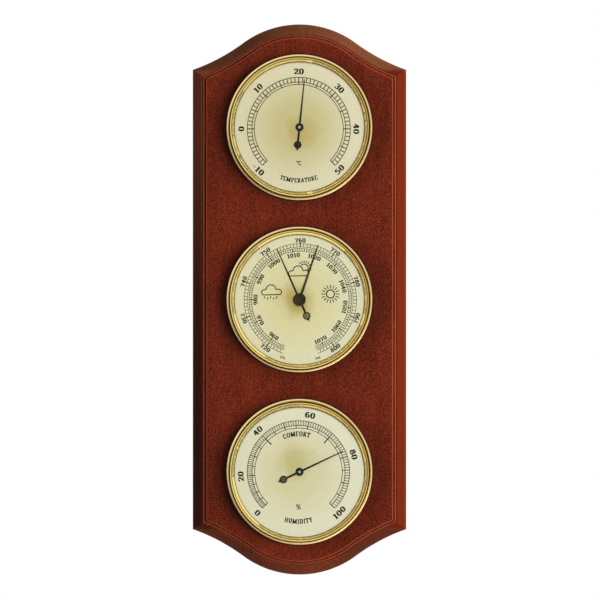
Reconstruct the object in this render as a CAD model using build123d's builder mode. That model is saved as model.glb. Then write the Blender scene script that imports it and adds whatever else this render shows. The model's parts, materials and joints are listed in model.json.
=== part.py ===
# Wall weather station: thermometer, barometer and hygrometer set in a moulded wooden board.
# +Z is up, +X to the right as seen from the front, and the front faces -Y.
# The origin is the centre of the hanger's keyhole, on the plane of the wall (y = 0).
import os
from math import acos, atan, atan2, cos, degrees, pi, radians, sin, sqrt, tan

from build123d import *

os.makedirs("parts", exist_ok=True)

# Board
board_height = 330.0
board_width = 128.0
board_thickness = 18.0
crown_half_width = 33.7
crown_rise = 11.1
shoulder_drop = 27.2
edge_bevel = 5.4
ledge_inset = 6.4
ledge_step = 0.8
panel_inset = 8.2
panel_step = 1.0
gauge_gap = 15.5
gauge_end_gap = 18.25

# Hanger
hanger_drop = 14.0
hanger_plate_width = 36.0
hanger_plate_height = 14.4
hanger_plate_thickness = 1.2
hanger_plate_corner = 2.0
keyhole_radius = 3.8
keyhole_slot_radius = 1.9
keyhole_slot_rise = 5.0
hanger_pocket_margin = 1.4
hanger_pocket_depth = 7.0
hanger_screw_spacing = 26.0
hanger_screw_head_radius = 2.6
hanger_screw_head_height = 1.1
hanger_screw_shank_radius = 1.25
hanger_screw_length = 9.0

# Layers of every gauge, counted outwards from the face of the board
crimp_thickness = 0.6
flange_thickness = 1.0
dial_thickness = 0.4
hand_room = 3.4
glass_thickness = 1.6

# Case and grip ring
case_wall = 1.2
case_back_gap = 2.0
case_back_thickness = 1.4
case_corner = 1.0
flange_overhang = 2.7
grip_setback = 5.0
grip_width = 8.0
grip_base = 0.5
grip_height = 1.2
grip_ridges = 3
vent_count = 8
vent_inset = 12.0
vent_length = 12.0
vent_width = 2.6

# Bezel, glass and dial
crimp_width = 1.2
bezel_wall = 1.2
bezel_bead_radius = 0.8
bezel_lip_width = 2.25
bezel_lip_edge = 0.5
bezel_inner_bead_width = 1.9
bezel_inner_bead_rise = 0.6
bezel_skin = 0.6
bezel_step = 0.4
spacer_setback = 0.2
glass_clearance = 0.3
dial_hole_radius = 1.8

# Spring movement of the thermometer and of the hygrometer
bracket_width = 8.0
bracket_thickness = 1.2
bracket_leg_reach = 13.0
bracket_base_reach = 12.0
bracket_arm_reach = 4.0
bracket_rise = 13.0
bracket_bend = 1.0
bracket_screw_reach = 10.0
coil_start_radius = 2.15
coil_strip = 0.3
coil_pitch = 1.1
coil_half_turns = 10
coil_width = 4.0
coil_setback = 2.4
coil_tail = 2.8
coil_stud_radius = 0.7
coil_stud_overlap = 0.6
bush_radius = 1.8
bush_flange_radius = 2.6
bush_flange_thickness = 0.6
arbor_radius = 1.1
arbor_pivot_radius = 0.5
arbor_tip_radius = 0.85
arbor_tip_proud = 0.3

# Hands
hand_thickness = 0.3
hand_lift = 1.0
hub_radius = 2.45
hub_height = 1.2
needle_root_width = 1.1
needle_tip_width = 0.4
tail_stem_width = 1.2
tail_ball_reach = 10.6
tail_ball_radius = 2.3
tail_reach = 14.4
tail_point_width = 2.2
tail_point_hollow = 0.2
climate_hand_margin = 10.0
baro_hand_margin = 5.9
baro_hub_radius = 2.0

# Small screws
screw_head_radius = 2.0
screw_head_height = 1.1
screw_shank_radius = 0.8
screw_slot_width = 0.5
screw_slot_depth = 0.5

# Capsule and plates of the barometer movement
base_boss_radius = 3.0
base_boss_height = 0.6
base_plate_gap = 6.0
base_plate_thickness = 1.2
base_screw_inset = 3.5
adjusting_screw_radius = 2.0
adjusting_screw_inset = 0.4
adjusting_hole_radius = 3.4
capsule_gap = 3.0
capsule_boss_radius = 4.0
capsule_boss_height = 0.8
capsule_thickness = 5.0
capsule_rim_width = 1.6
capsule_skin = 0.3
capsule_wave = 0.45
capsule_waves = 4
stem_foot_radius = 1.5
stem_foot_thickness = 0.3
stem_tip_radius = 0.5
stem_length = 1.0
pillar_inset = 5.0
pillar_radius = 2.0
pillar_seat_radius = 5.0
pillar_thread_length = 4.0
bridge_thickness = 1.0

# Rocker that turns the travel of the capsule into a swing
rocker_drop = 1.8
rocker_radius = 0.6
rocker_pivot_radius = 0.4
rocker_end_margin = 2.4
rocker_bracket_width = 3.0
rocker_bracket_thickness = 1.0
rocker_eye_radius = 1.2
lever_arm = 3.0
lever_width = 3.0
lever_thickness = 0.8
lever_overhang = 1.4
lever_play = 0.12
finger_width = 1.2
finger_thickness = 0.6
finger_play = 0.15
finger_head_gap = 0.25
finger_window_width = 1.8
finger_window_height = 3.0

# Sector and pinion
sector_pivot_inset = 4.4
pinion_teeth = 16
sector_full_teeth = 128
sector_cut_teeth = 21
gear_addendum_share = 0.8
gear_dedendum_share = 1.2
gear_backlash = 0.05
gear_pressure_angle = 20.0
flank_points = 4
sector_thickness = 0.8
sector_lift = 0.7
sector_rim = 2.4
sector_spoke_width = 3.2
sector_hub_radius = 3.2
sector_bore_radius = 1.2
sector_collar_radius = 1.5
sector_screw_head_radius = 2.2
sector_screw_head_height = 0.6
sector_pin_reach = 2.4
sector_pin_radius = 0.35
sector_pin_drop = 0.6
pinion_length = 1.2
pinion_neck_radius = 1.0

# Front bearing and hairspring of the barometer
cock_width = 5.0
cock_thickness = 0.7
cock_leg_reach = 9.0
cock_foot_length = 5.2
cock_arm_reach = 2.2
cock_dial_gap = 0.3
hairspring_start_radius = 1.35
hairspring_strip = 0.1
hairspring_pitch = 0.8
hairspring_half_turns = 10
hairspring_width = 0.4
hairspring_tail = 1.4
hairspring_stud_radius = 0.6
hairspring_stud_overlap = 0.2

# Set hand and its knob
set_hand_margin = 4.4
set_hand_root_width = 1.7
set_hand_tip_width = 0.8
set_hub_radius = 2.6
set_hub_height = 0.7
set_stem_radius = 1.5
set_stem_engagement = 1.6
set_washer_thickness = 0.3
set_washer_radius = 3.0
set_knob_radius = 3.8
set_knob_height = 2.4
set_knob_round = 0.5
set_knob_rim = 0.9
set_knob_dish = 0.35

# Fits
running_clearance = 0.05
seat_clearance = 0.02
end_shake = 0.15

# Readings shown at rest, in degrees clockwise from the top of each dial
thermo_rest_angle = 5.85
hygro_rest_angle = 64.6
baro_rest_angle = -24.0
set_rest_angle = 18.9

# Places on the board
half_height = board_height / 2
half_width = board_width / 2
bezel_radius = (board_height - 2 * gauge_gap - 2 * gauge_end_gap) / 6
gauge_pitch = 2 * bezel_radius + gauge_gap
board_centre = hanger_drop - half_height
thermo_height = board_centre + gauge_pitch
baro_height = board_centre
hygro_height = board_centre - gauge_pitch
base_thickness = board_thickness - ledge_step - panel_step
hanger_plate_rise = (keyhole_slot_rise + keyhole_slot_radius - keyhole_radius) / 2
hanger_screw_spots = [(-hanger_screw_spacing / 2, hanger_plate_rise),
                      (hanger_screw_spacing / 2, hanger_plate_rise)]
hanger_screw_taper = degrees(atan((hanger_screw_head_radius - hanger_screw_shank_radius)
                                  / hanger_screw_head_height))

# Distances from the wall, from the board's face outwards
flange_back = board_thickness + crimp_thickness
dial_back = flange_back + flange_thickness
dial_front = dial_back + dial_thickness
glass_back = dial_front + hand_room
glass_front = glass_back + glass_thickness
hand_back = dial_front + hand_lift
hub_back = hand_back - (hub_height - hand_thickness) / 2
hub_front = hub_back + hub_height
set_hand_back = glass_back - running_clearance - set_hub_height
knob_back = glass_front + set_washer_thickness + running_clearance

# Radii of the case and of what the bezel holds
bezel_wall_radius = bezel_radius - 2 * bezel_bead_radius
bezel_bore_radius = bezel_wall_radius - bezel_wall
bezel_lip_radius = bezel_bore_radius - bezel_lip_width
flange_radius = bezel_bore_radius - running_clearance
dial_radius = bezel_bore_radius - running_clearance
glass_radius = bezel_bore_radius - glass_clearance
spacer_inner_radius = bezel_lip_radius + spacer_setback
case_radius = flange_radius - flange_overhang
case_inner_radius = case_radius - case_wall
vent_ring_radius = case_inner_radius - vent_inset
board_bore_radius = case_radius + grip_height
case_floor = case_back_gap + case_back_thickness

# Hands
climate_hand_reach = bezel_lip_radius - climate_hand_margin
baro_hand_reach = bezel_lip_radius - baro_hand_margin
set_hand_reach = bezel_lip_radius - set_hand_margin

# Spring movement
bracket_floor = case_floor + bracket_thickness
bracket_front = case_floor + bracket_rise
bracket_arm_back = bracket_front - bracket_thickness
bracket_screw_spots = [(-bracket_screw_reach, 0), (bracket_screw_reach, 0)]
coil_back = bracket_floor + coil_setback
coil_front = coil_back + coil_width
coil_end_radius = coil_start_radius + coil_half_turns * coil_pitch / 2
coil_stud_spot = (coil_end_radius, coil_tail - coil_stud_radius)
collet_radius = coil_start_radius - coil_strip / 2 - seat_clearance

# Barometer movement
base_plate_radius = case_inner_radius - base_plate_gap
base_screw_reach = base_plate_radius - base_screw_inset
pillar_reach = base_plate_radius - pillar_inset
capsule_radius = pillar_reach - pillar_radius - capsule_gap
base_plate_back = case_floor + base_boss_height
base_plate_front = base_plate_back + base_plate_thickness
capsule_back = base_plate_front + capsule_boss_height
capsule_middle = capsule_back + capsule_thickness / 2
capsule_face = capsule_back + capsule_thickness
stem_front = capsule_face + stem_length
rocker_depth = stem_front + lever_play + lever_thickness / 2
bridge_back = rocker_depth + rocker_drop
bridge_front = bridge_back + bridge_thickness
sector_back = bridge_front + sector_lift
sector_front = sector_back + sector_thickness
pinion_back = sector_back - (pinion_length - sector_thickness) / 2
pinion_front = pinion_back + pinion_length
cock_front = dial_back - cock_dial_gap
cock_back = cock_front - cock_thickness
hairspring_back = (pinion_front + cock_back - hairspring_width) / 2
hairspring_front = hairspring_back + hairspring_width
hairspring_end_radius = hairspring_start_radius + hairspring_half_turns * hairspring_pitch / 2
hairspring_collet_radius = hairspring_start_radius - hairspring_strip / 2 - seat_clearance
hairspring_stud_spot = (hairspring_end_radius, hairspring_tail - hairspring_stud_radius)
gear_centres = pillar_reach - sector_pivot_inset
gear_module = 2 * gear_centres / (pinion_teeth + sector_full_teeth)
gear_addendum = gear_addendum_share * gear_module
gear_dedendum = gear_dedendum_share * gear_module
pinion_radius = gear_module * pinion_teeth / 2
sector_radius = gear_module * sector_full_teeth / 2
rocker_y = -lever_arm
sector_x = -sqrt(gear_centres**2 - rocker_y**2)
gear_line_angle = degrees(atan2(rocker_y, sector_x))
pinion_step = 360 / pinion_teeth
sector_step = 360 / sector_full_teeth
pin_x = sector_x + sector_pin_reach
finger_y = sector_pin_radius + finger_play + finger_thickness / 2
rocker_left = pin_x - rocker_end_margin
rocker_right = lever_width / 2 + rocker_end_margin
cock_screw_spot = (cock_leg_reach + (cock_foot_length + cock_thickness) / 2, 0)


def ring_spots(reach, angles):
    return [(reach * cos(radians(angle)), reach * sin(radians(angle))) for angle in angles]


pillar_spots = ring_spots(pillar_reach, (60, 180, 300))
base_screw_spots = ring_spots(base_screw_reach, (0, 120, 240))


def facing(height, depth, turn=0, x=0, y=0):
    # Plane parallel to the wall: local x to the right, local y up, local z to the viewer.
    # A turn is in degrees clockwise as the viewer sees it.
    right = (cos(radians(turn)), 0, -sin(radians(turn)))
    return Plane(origin=(x, -depth, height + y), x_dir=right, z_dir=(0, -1, 0))


def section(height):
    # Plane through a gauge's axis: local x is the radius, local y the distance from the wall.
    return Plane(origin=(0, 0, height), x_dir=(1, 0, 0), z_dir=(0, 0, -1))


def across(height, x):
    # Plane square to +X: local x is the height above a gauge's axis, local y the distance
    # from the wall.
    return Plane(origin=(x, 0, height), x_dir=(0, 0, 1), z_dir=(1, 0, 0))


def spindle(height):
    return Axis((0, 0, height), (0, -1, 0))


def save(piece, name):
    piece.part.label = name
    export_step(piece.part, f"parts/{name}.step")


def disc(height, depth, radius, spots=((0, 0),)):
    with BuildSketch(facing(height, depth)) as face:
        with Locations(*spots):
            Circle(radius)
    return face.sketch


def turned(height, corners):
    # Face in a gauge's section plane, from (radius, distance from the wall) corners.
    with BuildSketch(section(height)) as face:
        with BuildLine():
            Polyline(*corners, close=True)
        make_face()
    return face.sketch


def board_face(depth, inset):
    with BuildSketch(facing(board_centre, depth)) as face:
        with BuildLine():
            crown = TangentArc((0, half_height), (crown_half_width, half_height - crown_rise),
                               tangent=(1, 0))
            TangentArc(crown @ 1, (half_width, half_height - shoulder_drop), tangent=crown % 1)
            mirror(about=Plane.YZ)
            mirror(about=Plane.XZ)
            for side in (-half_width, half_width):
                Line((side, half_height - shoulder_drop), (side, shoulder_drop - half_height))
        make_face()
        if inset:
            offset(amount=-inset, kind=Kind.INTERSECTION)
    return face.sketch


def keyhole_face(depth, margin):
    with BuildSketch(facing(0, depth)) as face:
        Circle(keyhole_radius + margin)
        with Locations((0, keyhole_slot_rise / 2)):
            Rectangle(2 * (keyhole_slot_radius + margin), keyhole_slot_rise)
        with Locations((0, keyhole_slot_rise)):
            Circle(keyhole_slot_radius + margin)
    return face.sketch


def hanger_plate_face():
    with BuildSketch(facing(0, 0)) as face:
        with Locations((0, hanger_plate_rise)):
            RectangleRounded(hanger_plate_width, hanger_plate_height, hanger_plate_corner)
    return face.sketch


with BuildPart() as back_board:
    extrude(board_face(0, 0), amount=base_thickness)
    chamfer(back_board.faces().sort_by(Axis.Y)[0].edges(), length=edge_bevel)
    extrude(board_face(base_thickness, ledge_inset), amount=ledge_step)
    extrude(board_face(base_thickness + ledge_step, panel_inset), amount=panel_step)
    for gauge_height in (thermo_height, baro_height, hygro_height):
        extrude(disc(gauge_height, 0, board_bore_radius), amount=board_thickness, mode=Mode.SUBTRACT)
    extrude(hanger_plate_face(), amount=hanger_plate_thickness, mode=Mode.SUBTRACT)
    extrude(keyhole_face(hanger_plate_thickness, hanger_pocket_margin), amount=hanger_pocket_depth,
            mode=Mode.SUBTRACT)
    extrude(disc(0, 0, hanger_screw_shank_radius, hanger_screw_spots), amount=hanger_screw_length,
            mode=Mode.SUBTRACT)
save(back_board, "back_board")

with BuildPart() as hanger_plate:
    extrude(hanger_plate_face(), amount=hanger_plate_thickness)
    extrude(keyhole_face(0, 0), amount=hanger_plate_thickness, mode=Mode.SUBTRACT)
    extrude(disc(0, 0, hanger_screw_head_radius, hanger_screw_spots), amount=hanger_screw_head_height,
            taper=hanger_screw_taper, mode=Mode.SUBTRACT)
    extrude(disc(0, 0, hanger_screw_shank_radius, hanger_screw_spots), amount=hanger_plate_thickness,
            mode=Mode.SUBTRACT)
save(hanger_plate, "hanger_plate")

with BuildPart() as hanger_screws:
    extrude(disc(0, 0, hanger_screw_head_radius - seat_clearance, hanger_screw_spots),
            amount=hanger_screw_head_height, taper=hanger_screw_taper)
    extrude(disc(0, 0, hanger_screw_shank_radius - seat_clearance, hanger_screw_spots),
            amount=hanger_screw_length)
    with BuildSketch(facing(0, 0)):
        with Locations(*hanger_screw_spots):
            Rectangle(2 * hanger_screw_head_radius, screw_slot_width)
    extrude(amount=screw_slot_depth, mode=Mode.SUBTRACT)
save(hanger_screws, "hanger_screws")


def make_screws(name, height, spots, seat, length, rear):
    # Slotted screws: the head lies behind the seat when rear is set, else in front of it.
    head_back = seat - screw_head_height if rear else seat
    shank_back = seat if rear else seat - length
    slot_back = head_back if rear else head_back + screw_head_height - screw_slot_depth
    with BuildPart() as screws:
        extrude(disc(height, head_back, screw_head_radius, spots), amount=screw_head_height)
        extrude(disc(height, shank_back, screw_shank_radius - seat_clearance, spots), amount=length)
        with BuildSketch(facing(height, slot_back)):
            with Locations(*spots):
                Rectangle(2 * screw_head_radius, screw_slot_width)
        extrude(amount=screw_slot_depth, mode=Mode.SUBTRACT)
    save(screws, name)


def make_case(name, height, screw_spots, vented):
    with BuildPart() as case:
        with BuildSketch(section(height)):
            with BuildLine():
                Polyline((0, case_back_gap), (case_radius, case_back_gap), (case_radius, flange_back),
                         (flange_radius, flange_back), (flange_radius, dial_back),
                         (case_inner_radius, dial_back), (case_inner_radius, case_floor),
                         (0, case_floor), close=True)
            make_face()
        revolve(axis=spindle(height))
        fillet(case.edges().sort_by(Axis.Y)[-1], radius=case_corner)
        if vented:
            with BuildSketch(facing(height, case_back_gap)):
                with PolarLocations(vent_ring_radius, vent_count, start_angle=180 / vent_count):
                    SlotOverall(vent_length, vent_width)
            extrude(amount=case_back_thickness, mode=Mode.SUBTRACT)
        else:
            extrude(disc(height, case_floor, base_boss_radius, screw_spots), amount=base_boss_height)
            extrude(disc(height, case_back_gap, adjusting_hole_radius), amount=case_back_thickness,
                    mode=Mode.SUBTRACT)
        extrude(disc(height, case_back_gap, screw_shank_radius, screw_spots),
                amount=case_back_thickness + base_boss_height, mode=Mode.SUBTRACT)
    save(case, name)


def make_grip_ring(name, height):
    foot = case_radius + seat_clearance
    valley = case_radius + grip_base
    peak = board_bore_radius - seat_clearance
    step = grip_width / grip_ridges
    corners = [(foot, grip_setback), (valley, grip_setback)]
    for ridge in range(grip_ridges):
        corners.append((peak, grip_setback + (ridge + 0.5) * step))
        corners.append((valley, grip_setback + (ridge + 1) * step))
    corners.append((foot, grip_setback + grip_width))
    with BuildPart() as grip_ring:
        revolve(turned(height, corners), axis=spindle(height))
    save(grip_ring, name)


def make_bezel(name, height):
    bead_middle = bezel_wall_radius + bezel_bead_radius
    bead_depth = board_thickness + bezel_bead_radius
    bead_shoulder = bezel_bead_radius * sin(radians(45))
    bead_end = bezel_lip_radius + bezel_inner_bead_width
    middle_width = bezel_wall_radius - bead_end
    middle_top = glass_front + bezel_skin
    inner_top = middle_top + bezel_step + bezel_inner_bead_rise
    with BuildPart() as bezel:
        with BuildSketch(section(height)):
            with BuildLine():
                Line((bezel_bore_radius - crimp_width, board_thickness), (bead_middle, board_thickness))
                ThreePointArc((bead_middle, board_thickness),
                              (bead_middle + bead_shoulder, bead_depth + bead_shoulder),
                              (bezel_wall_radius, bead_depth))
                Line((bezel_wall_radius, bead_depth), (bezel_wall_radius, middle_top - middle_width))
                TangentArc((bezel_wall_radius, middle_top - middle_width), (bead_end, middle_top),
                           tangent=(0, 1))
                Line((bead_end, middle_top), (bead_end, middle_top + bezel_step))
                ThreePointArc((bead_end, middle_top + bezel_step),
                              ((bead_end + bezel_lip_radius) / 2, inner_top),
                              (bezel_lip_radius, glass_front + bezel_lip_edge))
                Polyline((bezel_lip_radius, glass_front + bezel_lip_edge),
                         (bezel_lip_radius, glass_front), (bezel_bore_radius, glass_front),
                         (bezel_bore_radius, flange_back),
                         (bezel_bore_radius - crimp_width, flange_back),
                         (bezel_bore_radius - crimp_width, board_thickness))
            make_face()
        revolve(axis=spindle(height))
    save(bezel, name)


def make_glass(name, height, hole_radius):
    with BuildPart() as glass:
        extrude(disc(height, glass_back, glass_radius), amount=glass_thickness)
        if hole_radius:
            extrude(disc(height, glass_back, hole_radius), amount=glass_thickness, mode=Mode.SUBTRACT)
    save(glass, name)


def make_spacer(name, height):
    with BuildPart() as spacer:
        extrude(disc(height, dial_front, dial_radius), amount=hand_room)
        extrude(disc(height, dial_front, spacer_inner_radius), amount=hand_room, mode=Mode.SUBTRACT)
    save(spacer, name)


def make_dial(name, height):
    with BuildPart() as dial:
        extrude(disc(height, dial_back, dial_radius), amount=dial_thickness)
        extrude(disc(height, dial_back, dial_hole_radius), amount=dial_thickness, mode=Mode.SUBTRACT)
    save(dial, name)


def strip_spiral(height, depth, start_radius, pitch, half_turns, strip, tail):
    # Flat spiral of half circles about two centres, with a straight tail at its outer end.
    end_radius = start_radius + half_turns * pitch / 2
    with BuildSketch(facing(height, depth)) as face:
        with BuildLine():
            for turn in range(half_turns):
                shift = pitch / 2 if turn % 2 else 0
                CenterArc((shift, 0), start_radius + turn * pitch / 2, 180 * (turn % 2), 180)
            Line((end_radius, 0), (end_radius, tail))
        trace(line_width=strip)
    return face.sketch


def make_stud(name, height, spot, radius, back, front, strip, strip_back):
    # Post with a slit that takes the tail of a spiral.
    with BuildPart() as stud:
        extrude(disc(height, back, radius, (spot,)), amount=front - back)
        with BuildSketch(facing(height, strip_back)):
            with Locations(spot):
                Rectangle(strip + 2 * seat_clearance, 2 * radius)
        extrude(amount=front - strip_back, mode=Mode.SUBTRACT)
    save(stud, name)


def make_bracket(name, height):
    with BuildPart() as bracket:
        with BuildSketch(section(height)):
            with BuildLine():
                Polyline((-bracket_leg_reach, case_floor), (bracket_base_reach, case_floor),
                         (bracket_base_reach, bracket_floor),
                         (bracket_thickness - bracket_leg_reach, bracket_floor),
                         (bracket_thickness - bracket_leg_reach, bracket_arm_back),
                         (bracket_arm_reach, bracket_arm_back), (bracket_arm_reach, bracket_front),
                         (-bracket_leg_reach, bracket_front), close=True)
            bracket_face = make_face()
            fillet(bracket_face.vertices().group_by(Axis.X)[0], radius=bracket_bend)
        extrude(amount=bracket_width / 2, both=True)
        extrude(disc(height, case_floor, arbor_pivot_radius + running_clearance),
                amount=bracket_thickness, mode=Mode.SUBTRACT)
        extrude(disc(height, bracket_arm_back, bush_radius + seat_clearance),
                amount=bracket_thickness, mode=Mode.SUBTRACT)
        extrude(disc(height, case_floor, screw_shank_radius, bracket_screw_spots),
                amount=bracket_thickness, mode=Mode.SUBTRACT)
    save(bracket, name)


def make_bush(name, height):
    bore = arbor_tip_radius + running_clearance
    with BuildPart() as bush:
        revolve(turned(height, [(bore, bracket_arm_back), (bush_radius, bracket_arm_back),
                                (bush_radius, bracket_front), (bush_flange_radius, bracket_front),
                                (bush_flange_radius, bracket_front + bush_flange_thickness),
                                (bore, bracket_front + bush_flange_thickness)]),
                axis=spindle(height))
    save(bush, name)


def make_arbor(name, height):
    tip = hub_front + arbor_tip_proud
    shoulder = bracket_arm_back - end_shake
    with BuildPart() as arbor:
        revolve(turned(height, [(0, case_floor + end_shake), (arbor_pivot_radius, case_floor + end_shake),
                                (arbor_pivot_radius, bracket_floor + end_shake),
                                (arbor_radius, bracket_floor + end_shake), (arbor_radius, coil_back),
                                (collet_radius, coil_back), (collet_radius, coil_front),
                                (arbor_radius, coil_front), (arbor_radius, shoulder),
                                (arbor_tip_radius, shoulder), (arbor_tip_radius, tip), (0, tip)]),
                axis=spindle(height))
    save(arbor, name)


def make_hand(name, height, turn, reach, centre_radius):
    cheek = tail_point_width / 2
    cheek_reach = tail_ball_reach + sqrt(tail_ball_radius**2 - cheek**2)
    with BuildPart() as hand:
        with BuildSketch(facing(height, hand_back, turn)):
            with BuildLine():
                Polyline((-needle_root_width / 2, 0), (-needle_tip_width / 2, reach),
                         (needle_tip_width / 2, reach), (needle_root_width / 2, 0), close=True)
            make_face()
            with Locations((0, -tail_ball_reach / 2)):
                Rectangle(tail_stem_width, tail_ball_reach)
            with Locations((0, -tail_ball_reach)):
                Circle(tail_ball_radius)
            with BuildLine():
                SagittaArc((-cheek, -cheek_reach), (0, -tail_reach), tail_point_hollow)
                SagittaArc((0, -tail_reach), (cheek, -cheek_reach), tail_point_hollow)
                Line((cheek, -cheek_reach), (-cheek, -cheek_reach))
            make_face()
        extrude(amount=hand_thickness)
        extrude(disc(height, hub_back, centre_radius), amount=hub_height)
        extrude(disc(height, hub_back, arbor_tip_radius + seat_clearance), amount=hub_height,
                mode=Mode.SUBTRACT)
    save(hand, name)


for gauge, gauge_height, rest_angle in (("thermo", thermo_height, thermo_rest_angle),
                                        ("hygro", hygro_height, hygro_rest_angle)):
    make_case(f"{gauge}_case", gauge_height, bracket_screw_spots, True)
    make_grip_ring(f"{gauge}_grip_ring", gauge_height)
    make_bezel(f"{gauge}_bezel", gauge_height)
    make_glass(f"{gauge}_glass", gauge_height, 0)
    make_spacer(f"{gauge}_spacer", gauge_height)
    make_dial(f"{gauge}_dial", gauge_height)
    make_bracket(f"{gauge}_bracket", gauge_height)
    make_screws(f"{gauge}_bracket_screws", gauge_height, bracket_screw_spots, case_back_gap,
                case_back_thickness + bracket_thickness, True)
    make_bush(f"{gauge}_bush", gauge_height)
    make_stud(f"{gauge}_coil_stud", gauge_height, coil_stud_spot, coil_stud_radius, bracket_floor,
              coil_front + coil_stud_overlap, coil_strip, coil_back - seat_clearance)
    make_arbor(f"{gauge}_arbor", gauge_height)
    make_hand(f"{gauge}_hand", gauge_height, rest_angle, climate_hand_reach, hub_radius)
    with BuildPart() as coil:
        extrude(strip_spiral(gauge_height, coil_back, coil_start_radius, coil_pitch, coil_half_turns,
                             coil_strip, coil_tail), amount=coil_width)
    save(coil, f"{gauge}_coil")

make_case("baro_case", baro_height, base_screw_spots, False)
make_grip_ring("baro_grip_ring", baro_height)
make_bezel("baro_bezel", baro_height)
make_glass("baro_glass", baro_height, set_stem_radius + running_clearance)
make_spacer("baro_spacer", baro_height)
make_dial("baro_dial", baro_height)
make_hand("baro_hand", baro_height, baro_rest_angle, baro_hand_reach, baro_hub_radius)

with BuildPart() as base_plate:
    extrude(disc(baro_height, base_plate_back, base_plate_radius), amount=base_plate_thickness)
    extrude(disc(baro_height, base_plate_back, screw_shank_radius, base_screw_spots),
            amount=base_plate_thickness, mode=Mode.SUBTRACT)
    extrude(disc(baro_height, base_plate_back, adjusting_screw_radius + seat_clearance),
            amount=base_plate_thickness, mode=Mode.SUBTRACT)
save(base_plate, "base_plate")

make_screws("base_plate_screws", baro_height, base_screw_spots, case_back_gap,
            base_plate_front - case_back_gap, True)

with BuildPart() as adjusting_screw:
    adjusting_back = case_back_gap + adjusting_screw_inset
    extrude(disc(baro_height, adjusting_back, adjusting_screw_radius),
            amount=capsule_back - adjusting_back)
    with BuildSketch(facing(baro_height, adjusting_back)):
        Rectangle(2 * adjusting_screw_radius, screw_slot_width)
    extrude(amount=screw_slot_depth, mode=Mode.SUBTRACT)
save(adjusting_screw, "adjusting_screw")


def diaphragm_face(outer, inner):
    # Corrugated skin in section; outer and inner are the distances from the wall of its
    # middle and of its rim, both measured on the skin's outside.
    inward = capsule_skin if inner > outer else -capsule_skin
    wave = capsule_wave if inner > outer else -capsule_wave
    rim_start = capsule_radius - capsule_rim_width
    crests = []
    for step in range(4 * capsule_waves + 1):
        share = step / (4 * capsule_waves)
        crests.append((capsule_boss_radius + share * (rim_start - capsule_boss_radius),
                       outer + share * (inner - outer) + wave * sin(2 * pi * capsule_waves * share)))
    lifted = [(radius, depth + inward) for radius, depth in crests]
    with BuildSketch(section(baro_height)) as face:
        with BuildLine():
            Line((0, outer), crests[0])
            Spline(*crests)
            Polyline(crests[-1], (capsule_radius, inner), (capsule_radius, inner + inward), lifted[-1])
            Spline(*lifted)
            Polyline(lifted[0], (0, outer + inward), (0, outer))
        make_face()
    return face.sketch


with BuildPart() as capsule_rear:
    revolve(diaphragm_face(capsule_back, capsule_middle - capsule_skin), axis=spindle(baro_height))
    extrude(disc(baro_height, base_plate_front, capsule_boss_radius), amount=capsule_boss_height)
    extrude(disc(baro_height, base_plate_front, adjusting_screw_radius + seat_clearance),
            amount=capsule_boss_height, mode=Mode.SUBTRACT)
save(capsule_rear, "capsule_rear")

with BuildPart() as capsule_front:
    revolve(diaphragm_face(capsule_face, capsule_middle + capsule_skin), axis=spindle(baro_height))
save(capsule_front, "capsule_front")

with BuildPart() as capsule_stem:
    with BuildSketch(section(baro_height)):
        with BuildLine():
            stem_shoulder = capsule_face + stem_foot_thickness
            Polyline((0, stem_front), (0, capsule_face), (stem_foot_radius, capsule_face),
                     (stem_foot_radius, stem_shoulder), (stem_tip_radius, stem_shoulder),
                     (stem_tip_radius, stem_front - stem_tip_radius))
            TangentArc((stem_tip_radius, stem_front - stem_tip_radius), (0, stem_front), tangent=(0, 1))
        make_face()
    revolve(axis=spindle(baro_height))
save(capsule_stem, "capsule_stem")

with BuildPart() as pillars:
    extrude(disc(baro_height, base_plate_front, pillar_radius, pillar_spots),
            amount=bridge_back - base_plate_front)
    extrude(disc(baro_height, bridge_back - pillar_thread_length, screw_shank_radius, pillar_spots),
            amount=pillar_thread_length, mode=Mode.SUBTRACT)
save(pillars, "pillars")

with BuildPart() as bridge_plate:
    with BuildSketch(facing(baro_height, bridge_back)) as bridge_face:
        with Locations(*pillar_spots):
            Circle(pillar_seat_radius)
        make_hull(bridge_face.edges())
        with Locations(*pillar_spots, cock_screw_spot, (sector_x, rocker_y)):
            Circle(screw_shank_radius, mode=Mode.SUBTRACT)
        Circle(arbor_pivot_radius + running_clearance, mode=Mode.SUBTRACT)
        with Locations((pin_x, rocker_y + finger_y)):
            Rectangle(finger_window_width, finger_window_height, mode=Mode.SUBTRACT)
    extrude(amount=bridge_thickness)
save(bridge_plate, "bridge_plate")

make_screws("bridge_screws", baro_height, pillar_spots, bridge_front,
            bridge_thickness + pillar_thread_length, False)

with BuildPart() as rocker_brackets:
    for bracket_x in (rocker_left - rocker_bracket_thickness, rocker_right):
        with BuildSketch(across(baro_height, bracket_x)):
            with Locations((rocker_y, rocker_depth)):
                Circle(rocker_bracket_width / 2)
            with Locations((rocker_y, (rocker_depth + bridge_back) / 2)):
                Rectangle(rocker_bracket_width, bridge_back - rocker_depth)
            with Locations((rocker_y, rocker_depth)):
                Circle(rocker_pivot_radius + running_clearance, mode=Mode.SUBTRACT)
        extrude(amount=rocker_bracket_thickness)
save(rocker_brackets, "rocker_brackets")

with BuildPart() as rocker_shaft:
    with BuildSketch(across(baro_height, rocker_left + end_shake)):
        with Locations((rocker_y, rocker_depth)):
            Circle(rocker_radius)
    extrude(amount=rocker_right - rocker_left - 2 * end_shake)
    with BuildSketch(across(baro_height, rocker_left - rocker_bracket_thickness)):
        with Locations((rocker_y, rocker_depth)):
            Circle(rocker_pivot_radius)
    extrude(amount=rocker_right - rocker_left + 2 * rocker_bracket_thickness)
save(rocker_shaft, "rocker_shaft")

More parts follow.
